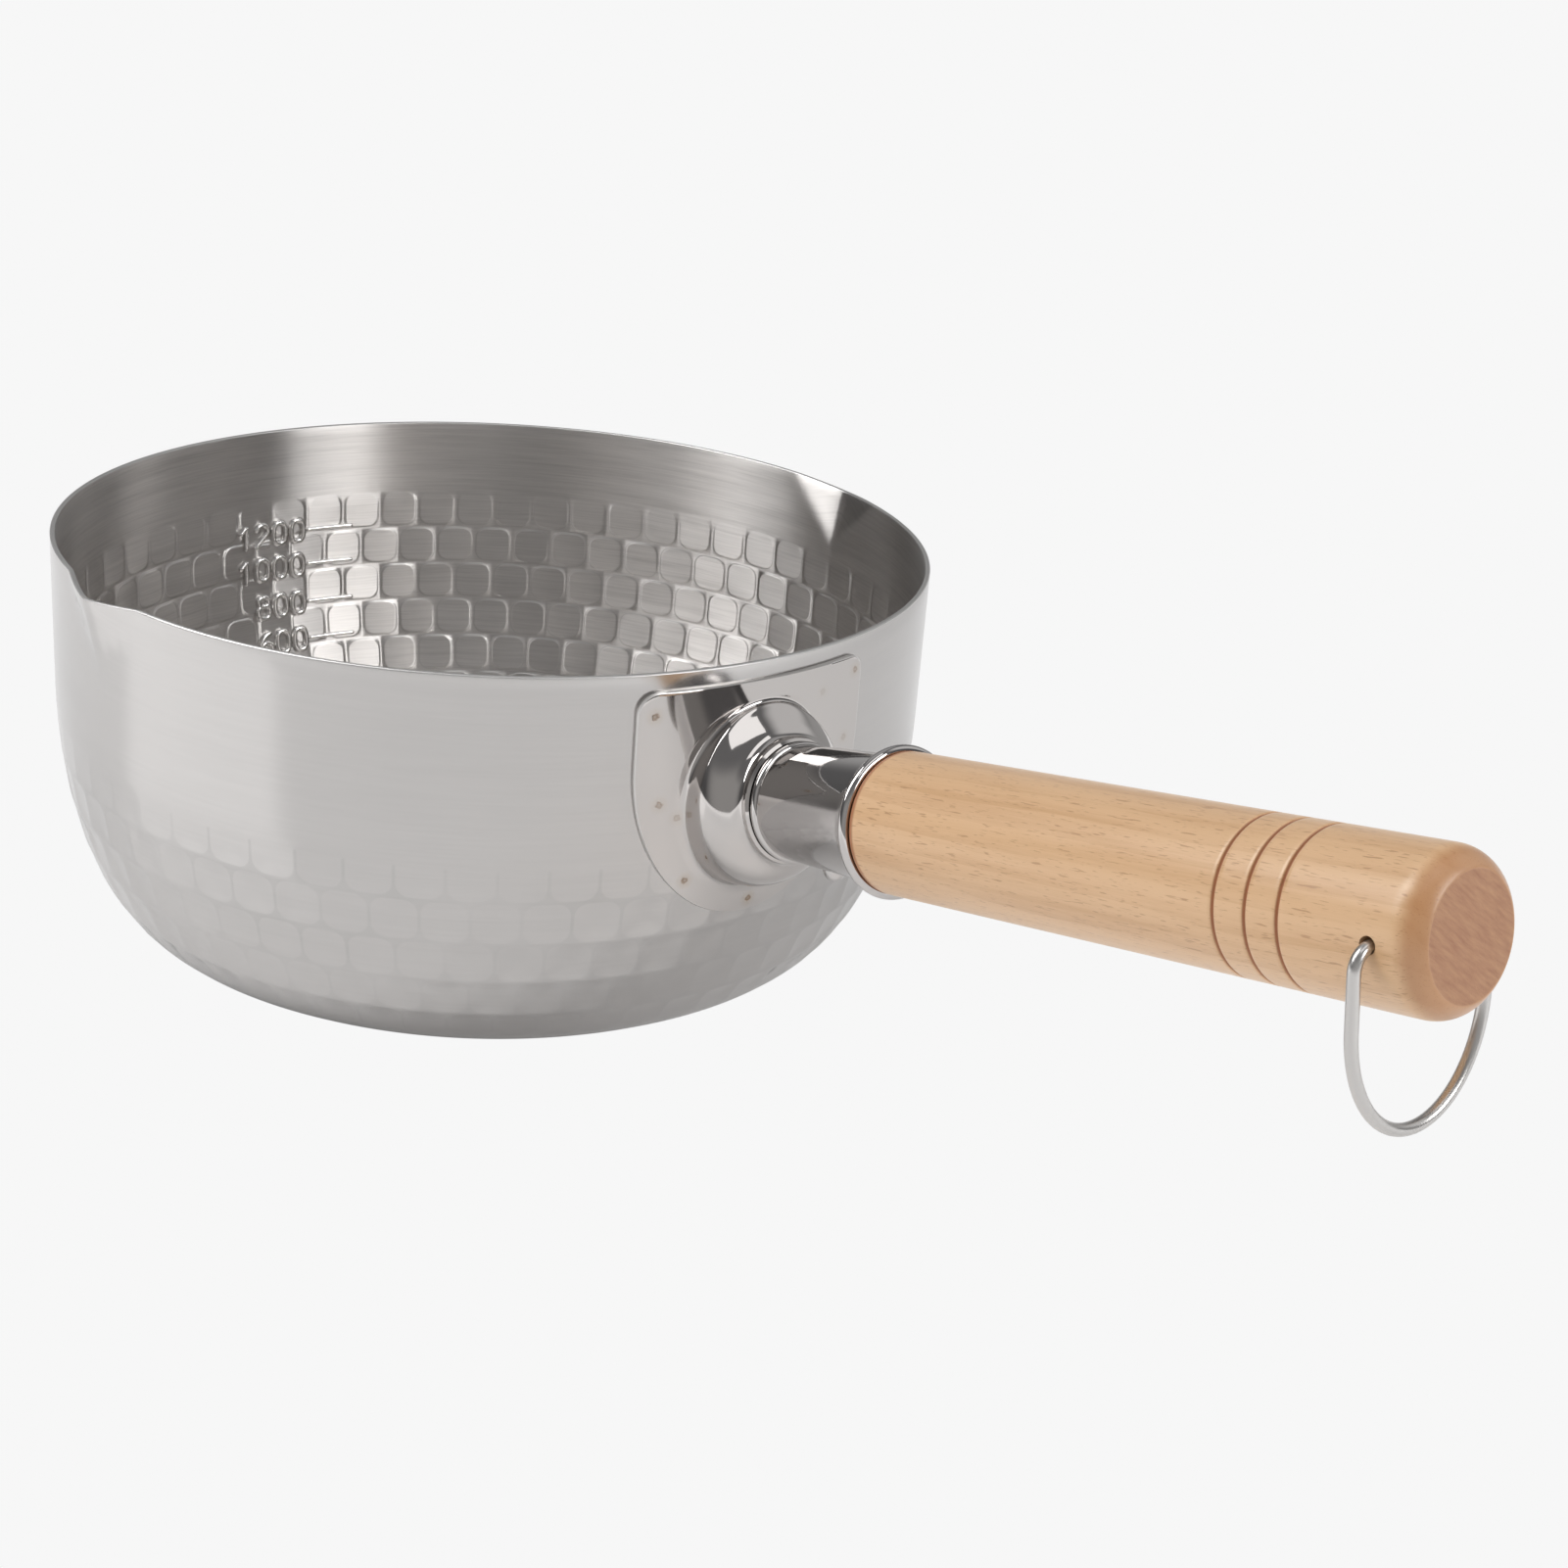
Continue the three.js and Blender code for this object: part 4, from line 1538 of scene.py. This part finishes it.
@dataclass
class Socket:
    """The ferrule that holds the handle, and the screw under it."""

    axis: HandleAxis
    back: float = 7.2
    collar_edge: float = 12.0
    mouth: float = 40.6
    radius: float = 10.6
    flare: float = 1.0
    sheet: float = 0.8
    swage_height: float = 0.55
    swage_start: float = 12.35
    swage_length: float = 1.7
    swage_ease: float = 0.3
    swage_steps: int = 14
    body_rows: int = 12
    curl: float = 1.0
    curl_from: float = -140.0
    curl_room: float = 1.6
    curl_steps: int = 28
    sides: int = 128
    screw_station: float = 22.0
    screw_head: float = 2.2
    screw_dome: float = 2.5
    dome_from: float = 88.0
    screw_shank: float = 1.2
    screw_tip: float = 0.05
    screw_length: float = 8.0
    screw_steps: int = 18
    screw_sides: int = 64
    recess_half_width: float = 0.34
    recess_side: float = 0.18
    recess_reach: float = 1.25
    recess_end: float = 0.25
    recess_depth: float = 0.6

    def outside(self, station: float) -> float:
        """Outside radius of the tube at a station."""
        return self.radius + self.flare * (station - self.collar_edge) / (self.mouth - self.collar_edge)

    def points(self, stations: Sequence[float], inset: float = 0.0) -> np.ndarray:
        """(radius, station) points on the tube, inset from its outside."""
        return np.array([[self.outside(station) - inset, station] for station in stations])

    def build(self) -> None:
        """Builds and dresses the tube and the screw."""
        self._build_tube()
        self._build_screw()

    def _build_tube(self) -> None:
        """Builds the tube with its swaged ring and curled mouth."""
        back_radius = self.outside(self.back)
        start = [[back_radius, self.back], [back_radius, self.collar_edge - self.swage_ease]]
        half = self.swage_length / 2
        ring = arc((self.swage_start + half, 0.0), (half, self.swage_height), 180, 0, self.swage_steps)
        swage = self.points(ring[:, 0]) + np.stack([ring[:, 1], np.zeros(len(ring))], axis=1)
        swage_end = self.swage_start + self.swage_length + self.swage_ease
        body = self.points(np.linspace(swage_end, self.mouth - self.curl_room, self.body_rows))
        curl_middle = (self.outside(self.mouth) + self.curl, self.mouth)
        bead = arc(curl_middle, (self.curl, self.curl), self.curl_from, 180, self.curl_steps)
        bore = self.points((self.mouth, self.collar_edge, self.back), self.sheet)
        skin = Skin()
        skin.add(turned(np.concatenate([start, swage, body, bead, bore]), self.sides), closed=True)
        mesh, place = skin.mesh("ferrule"), self.axis.frame()
        add_piece(mesh, [SOCKET_STEEL.material()], node="socket_tube", place=place)

    def _build_screw(self) -> None:
        """Builds the dome-headed screw with its cross recess."""
        dome = arc((0, 0), (self.screw_head, self.screw_dome), self.dome_from, 0, self.screw_steps)
        shank = [[self.screw_shank, 0.0], [self.screw_shank, -self.screw_length + self.screw_shank]]
        profile = np.concatenate([dome, shank, [[self.screw_tip, -self.screw_length]]])
        rings = turned(profile, self.screw_sides)
        x, y = np.abs(rings[..., 0]), np.abs(rings[..., 1])
        slim, long = np.minimum(x, y), np.maximum(x, y)
        inside = 1 - smooth_step(slim, self.recess_half_width, self.recess_half_width + self.recess_side)
        inside = inside * (1 - smooth_step(long, self.recess_reach - self.recess_end, self.recess_reach))
        rings[: len(dome), :, 2] -= (self.recess_depth * inside)[: len(dome)]
        mesh = Skin().rod(rings).mesh("screw")
        seat = Matrix.Translation(Vector((self.outside(self.screw_station), 0.0, self.screw_station)) * MM)
        place = self.axis.frame() @ seat @ Matrix.Rotation(math.pi / 2, 4, "Y")
        add_piece(mesh, [SOCKET_STEEL.material()], node="retaining_screw", place=place)


@dataclass
class Handle:
    """The turned beech handle with its burnt grooves and cross hole."""

    axis: HandleAxis
    socket: Socket
    shoulder: float = 41.65
    end: float = 158.3
    radius: float = 12.6
    taper: float = 0.15
    tenon_back: float = 9.0
    tenon_gap: float = 0.1
    tenon_ease: float = 0.02
    shoulder_round: float = 0.7
    shoulder_steps: int = 6
    shoulder_margin: float = 1.5
    end_round: float = 5.4
    end_turn: float = 62.0
    grooves: int = 3
    groove_pitch: float = 5.9
    groove_half_width: float = 0.34
    groove_flare: float = 1.3
    groove_depth: float = 0.45
    groove_bottom: float = 0.1
    groove_margin: float = 1.0
    groove_to_end: float = 23.6
    groove_rows: int = 11
    plain_rows: int = 14
    end_row: float = 0.6
    end_gap: float = 0.2
    end_steps: int = 16
    face_insets: tuple[float, ...] = (0.08, 0.2, 0.5)
    face_rings: tuple[float, ...] = (0.6, 0.3, 0.1)
    hole_radius: float = 1.35
    hole_lift: float = 0.25
    hole_sides: int = 40
    sides: int = 144

    def groove_places(self) -> tuple[float, ...]:
        """Stations of the grooves."""
        last = self.end - self.groove_to_end
        return tuple(last - i * self.groove_pitch for i in reversed(range(self.grooves)))

    def face_radius(self) -> float:
        """Radius of the flat end, inside its rounded edge."""
        inset = self.end_round * (1 - math.cos(math.radians(self.end_turn)))
        return self.radius - self.taper - inset

    def _surface(self, station: np.ndarray) -> np.ndarray:
        """(radius, station) points on the plain handle."""
        radius = self.radius - self.taper * (station - self.shoulder) / (self.end - self.shoulder)
        return np.stack([radius, station], axis=1)

    def _profile(self) -> np.ndarray:
        """The handle's outline.

        Returns:
            (radius, station) points, from the tenon to the end.
        """
        tenon = self.socket.points((self.tenon_back, self.socket.mouth), self.socket.sheet)
        tenon[:, 0] -= self.tenon_gap
        tenon[1, 1] = self.shoulder - self.tenon_ease
        fillet = self.shoulder_round
        middle = (self.radius - fillet, self.shoulder + fillet)
        stretches = [tenon, arc(middle, (fillet, fillet), -90, 0, self.shoulder_steps)]
        begin = self.shoulder + self.shoulder_margin
        cut = np.linspace(-1, 1, self.groove_rows)
        for place in self.groove_places():
            stretches.append(self._surface(np.linspace(begin, place - self.groove_margin, self.plain_rows)))
            groove = self._surface(place + cut * self.groove_half_width * self.groove_flare)
            groove[:, 0] -= self.groove_depth * (1 - smooth_step(np.abs(cut), self.groove_bottom, 1.0))
            stretches.append(groove)
            begin = place + self.groove_margin
        end_start = self.end - self.end_round * math.sin(math.radians(self.end_turn))
        stretches.append(self._surface(np.arange(begin, end_start - self.end_gap, self.end_row)))
        middle = (self.radius - self.taper - self.end_round, end_start)
        stretches.append(arc(middle, (self.end_round, self.end_round), 0, self.end_turn, self.end_steps))
        face = self.face_radius()
        inwards = np.concatenate([face - np.array(self.face_insets), face * np.array(self.face_rings)])
        stretches.append(np.stack([inwards, np.full(len(inwards), self.end)], axis=1))
        return np.concatenate(stretches)

    def _drill(self, piece: bpy.types.Object) -> None:
        """Drills the cross hole through the handle.

        Args:
            piece: the handle's piece.
        """
        reach = 2 * self.radius
        rod = turned(np.array([[self.hole_radius, -reach], [self.hole_radius, reach]]), self.hole_sides)
        drill = add_object("drill", Skin().rod(rod).mesh("drill"))
        across = Matrix.Rotation(math.pi / 2, 4, "X")
        # The wire hangs at the bottom of the hole, so the hole's middle is a little above the hinge.
        middle = Vector((-self.hole_lift, 0.0, self.axis.hole_station)) * MM
        drill.matrix_world = self.axis.frame() @ Matrix.Translation(middle) @ across
        hole = piece.modifiers.new("hole", "BOOLEAN")
        hole.operation = "DIFFERENCE"
        hole.solver = "EXACT"
        hole.object = drill
        bpy.context.view_layer.update()
        drilled = bpy.data.meshes.new_from_object(piece.evaluated_get(bpy.context.evaluated_depsgraph_get()))
        piece.modifiers.clear()
        blank = piece.data
        piece.data = drilled
        drilled.name = piece.name
        for unused in (blank, drill.data):
            bpy.data.meshes.remove(unused)
        drilled.set_sharp_from_angle(angle=SHARP_ANGLE)

    def build(self) -> None:
        """Builds and dresses the handle."""
        finish = LacqueredBeech(
            name="lacquered_beech",
            burnt_places=self.groove_places(),
            burnt_half_width=self.groove_half_width,
            shoulder=self.shoulder,
            end=self.end,
            end_round=self.end_round,
            face_radius=self.face_radius(),
        )
        mesh = Skin().rod(turned(self._profile(), self.sides)).mesh("beech_handle")
        place = self.axis.frame()
        piece = add_piece(mesh, [finish.material()], node="wooden_handle", place=place)
        self._drill(piece)


@dataclass
class HangingLoop:
    """The bent wire that the pot hangs by."""

    axis: HandleAxis
    handle: Handle
    wire: float = 1.0
    side_gap: float = 1.4
    drop: float = 29.6
    leg: float = 11.7
    bend: float = 3.2
    insert: float = 6.0
    swing: float = 8.9
    straight_points: int = 8
    bend_steps: int = 12
    bow_steps: int = 40
    sides: int = 24

    def _path(self) -> np.ndarray:
        """The wire's middle line, in the plane x = 0 below the hinge.

        Returns:
            The points, from one end in the hole to the other.
        """
        side = self.handle.radius + self.side_gap + self.wire
        inside = self.handle.radius - self.insert
        bend = side - self.bend
        half = np.concatenate(
            [
                np.linspace((inside, 0), (bend, 0), self.straight_points)[:-1],
                arc((bend, -self.bend), (self.bend, self.bend), 90, 0, self.bend_steps),
                np.linspace((side, -self.bend), (side, -self.leg), self.straight_points)[1:-1],
                arc((0, -self.leg), (side, self.drop - self.leg), 0, -90, self.bow_steps),
            ]
        )
        line = np.concatenate([half, (half * [-1, 1])[-2::-1]])
        return np.insert(line, 0, 0.0, axis=1)

    def build(self) -> None:
        """Builds and dresses the loop."""
        mesh = Skin().rod(swept(self._path(), self.wire, self.sides)).mesh("wire_loop")
        turn = Matrix.Rotation(-math.radians(self.swing), 4, "Y")
        place = Matrix.Translation(self.axis.hinge * MM) @ turn
        add_piece(mesh, [WIRE_STEEL.material()], body=Body.LOOP, node="hanging_loop", place=place)


# Studio


@dataclass(frozen=True)
class SoftBox:
    """A soft light aimed at the pot, in degrees, metres and watts."""

    name: str
    azimuth: float
    elevation: float
    distance: float
    width: float
    height: float
    power: float

    def build(self, target: Vector) -> None:
        """Hangs the light.

        Args:
            target: what it is aimed at.
        """
        turn, lift = math.radians(self.azimuth), math.radians(self.elevation)
        away = Vector((math.cos(turn) * math.cos(lift), math.sin(turn) * math.cos(lift), math.sin(lift)))
        light = bpy.data.lights.new(self.name, "AREA")
        light.shape = "RECTANGLE"
        light.size = self.width
        light.size_y = self.height
        light.energy = self.power
        lamp = add_object(self.name, light)
        lamp.location = target + away * self.distance
        lamp.rotation_euler = away.to_track_quat("Z", "Y").to_euler()


@dataclass(frozen=True)
class Glow:
    """A paler part of the room.

    The edge gives the cosines of the angles from its middle where it starts and where it is full. The top
    gives the heights on the room's sphere where it ends and where it is full.
    """

    towards: Direction
    colour: Colour
    edge: Pair
    top: Pair | None = None

    def over(self, sky: Shade, way: Shade, up: Shade) -> Shade:
        """Lays the glow over the room.

        Args:
            sky: the room's colour so far.
            way: the direction looked in.
            up: its height.

        Returns:
            The room's colour.
        """
        settings = {"operation": "DOT_PRODUCT"}
        facing = sky.bench.node("ShaderNodeVectorMath", settings, {0: way, 1: self.towards}, "Value")
        share = facing.rise(*self.edge)
        if self.top is not None:
            share = share * up.rise(*self.top)
        return sky.bench.mix(share, sky, self.colour)


@dataclass
class Studio:
    """Floor, light and camera, in metres."""

    target: Vector
    floor: PaleFloor = PaleFloor()
    floor_size: float = 8.0
    floor_drop: float = 0.0003
    backdrop_radius: float = 3.9
    backdrop_top: float = 89.0
    backdrop_rings: int = 12
    backdrop_sides: int = 48
    backdrop_colour: Colour = grey(0.93)
    walls: Colour = (0.105, 0.105, 0.107, 1.0)
    ceiling: Colour = (0.19, 0.19, 0.194, 1.0)
    ceiling_from: float = 0.6
    ceiling_full: float = 0.85
    glows: tuple[Glow, ...] = (
        Glow((0.72, -0.6, 0.35), (0.4, 0.395, 0.39, 1.0), edge=(0.45, 1.0), top=(0.75, 0.45)),
        Glow((-0.5, 0.87, 0.0), grey(0.43), edge=(0.45, 0.75), top=(0.55, 0.25)),
        Glow((0.207, 0.771, 0.602), grey(0.75), edge=(0.9, 0.98)),
    )
    lights: tuple[SoftBox, ...] = (
        SoftBox("right_soft_box", 19.8, 28, distance=1.3, width=0.54, height=0.5, power=5.2),
        SoftBox("left_soft_box", -122.5, 50, distance=1.1, width=0.47, height=0.9, power=8.3),
        SoftBox("back_soft_box", 142, 62, distance=1.4, width=1.0, height=1.0, power=0.8),
        SoftBox("top_soft_box", 5, 68, distance=1.2, width=0.8, height=0.4, power=1.3),
    )
    lens: float = 55.3
    clip_start: float = 0.01
    camera_place: Direction = (0.40961, -0.26455, 0.22583)
    camera_right: Direction = (0.6211, 0.7799, 0.0767)
    camera_up: Direction = (-0.3397, 0.1798, 0.9232)

    def build(self) -> None:
        """Builds the studio."""
        self._lay_floor()
        self._hang_backdrop()
        self._light_room()
        for light in self.lights:
            light.build(self.target)
        self._set_camera()

    def _lay_floor(self) -> None:
        """Lays the floor under the pot."""
        half = self.floor_size / 2
        corners = [(-half, -half), (half, -half), (half, half), (-half, half)]
        mesh = bpy.data.meshes.new("floor")
        mesh.from_pydata([(x, y, -self.floor_drop) for x, y in corners], [], [(0, 1, 2, 3)])
        mesh.materials.append(self.floor.material())
        floor = add_object("floor", mesh)

    def _hang_backdrop(self) -> None:
        """Hangs a white backdrop all round, that the camera sees and that neither lights nor is mirrored."""
        material, bench = new_material("backdrop")
        paper = bench.node("ShaderNodeEmission", inputs={"Color": self.backdrop_colour})
        bench.node("ShaderNodeOutputMaterial", inputs={"Surface": paper})
        size = (self.backdrop_radius, self.backdrop_radius)
        dome = arc((0, 0), size, 0, self.backdrop_top, self.backdrop_rings) / MM
        mesh = Skin().rod(turned(dome, self.backdrop_sides)).mesh("backdrop")
        mesh.materials.append(material)
        backdrop = add_object("backdrop", mesh)
        for ray in ("diffuse", "glossy", "transmission", "volume_scatter", "shadow"):
            setattr(backdrop, f"visible_{ray}", False)

    def _light_room(self) -> None:
        """Lights the room: dark walls with a paler front, a pale sweep low behind and a card above it."""
        world = bpy.data.worlds.new("room")
        world.use_nodes = True
        bench = Bench(world.node_tree)
        way = bench.node("ShaderNodeTexCoord")
        up = bench.node("ShaderNodeSeparateXYZ", inputs={0: way}, output=2)
        walls = [(0.0, self.walls), (self.ceiling_from, self.walls)]
        stops = walls + [(self.ceiling_full, self.ceiling), (1.0, self.ceiling)]
        # The ramp runs from 0 straight below to 1 straight above.
        sky = bench.node("ShaderNodeValToRGB", {"stops": stops}, {0: up * 0.5 + 0.5})
        for glow in self.glows:
            sky = glow.over(sky, way, up)
        background = bench.node("ShaderNodeBackground", inputs={"Color": sky, "Strength": 1.0})
        bench.node("ShaderNodeOutputWorld", inputs={"Surface": background})
        bpy.context.scene.world = world

    def _set_camera(self) -> None:
        """Sets the camera at the photograph's place."""
        camera = add_object("camera", bpy.data.cameras.new("camera"))
        camera.data.lens = self.lens
        camera.data.clip_start = self.clip_start
        right, up = Vector(self.camera_right).normalized(), Vector(self.camera_up)
        up = (up - right * up.dot(right)).normalized()
        turn = Matrix((right, up, right.cross(up))).transposed().to_4x4()
        camera.matrix_world = Matrix.Translation(self.camera_place) @ turn
        bpy.context.scene.camera = camera
        bpy.context.scene.view_settings.view_transform = "Standard"


def main() -> None:
    """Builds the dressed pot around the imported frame."""
    logging.basicConfig(level=logging.INFO, format="%(name)s: %(message)s")
    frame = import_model()
    low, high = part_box("pot_body")
    hinge = Vector(next(joint["pos_m"] for joint in frame["joints"] if joint["name"] == "loop_swing")) / MM
    rim_radius = high.x / MM
    bowl = Bowl(rim_radius, high.z / MM, HammerMarks(rim_radius))
    axis = HandleAxis(hinge)
    socket = Socket(axis)
    handle = Handle(axis, socket)
    bowl.build()
    VolumeScale(bowl).build()
    Bracket(bowl, axis).build()
    socket.build()
    handle.build()
    HangingLoop(axis, handle).build()
    Studio((low + high) / 2).build()


if __name__ == "__main__":
    main()
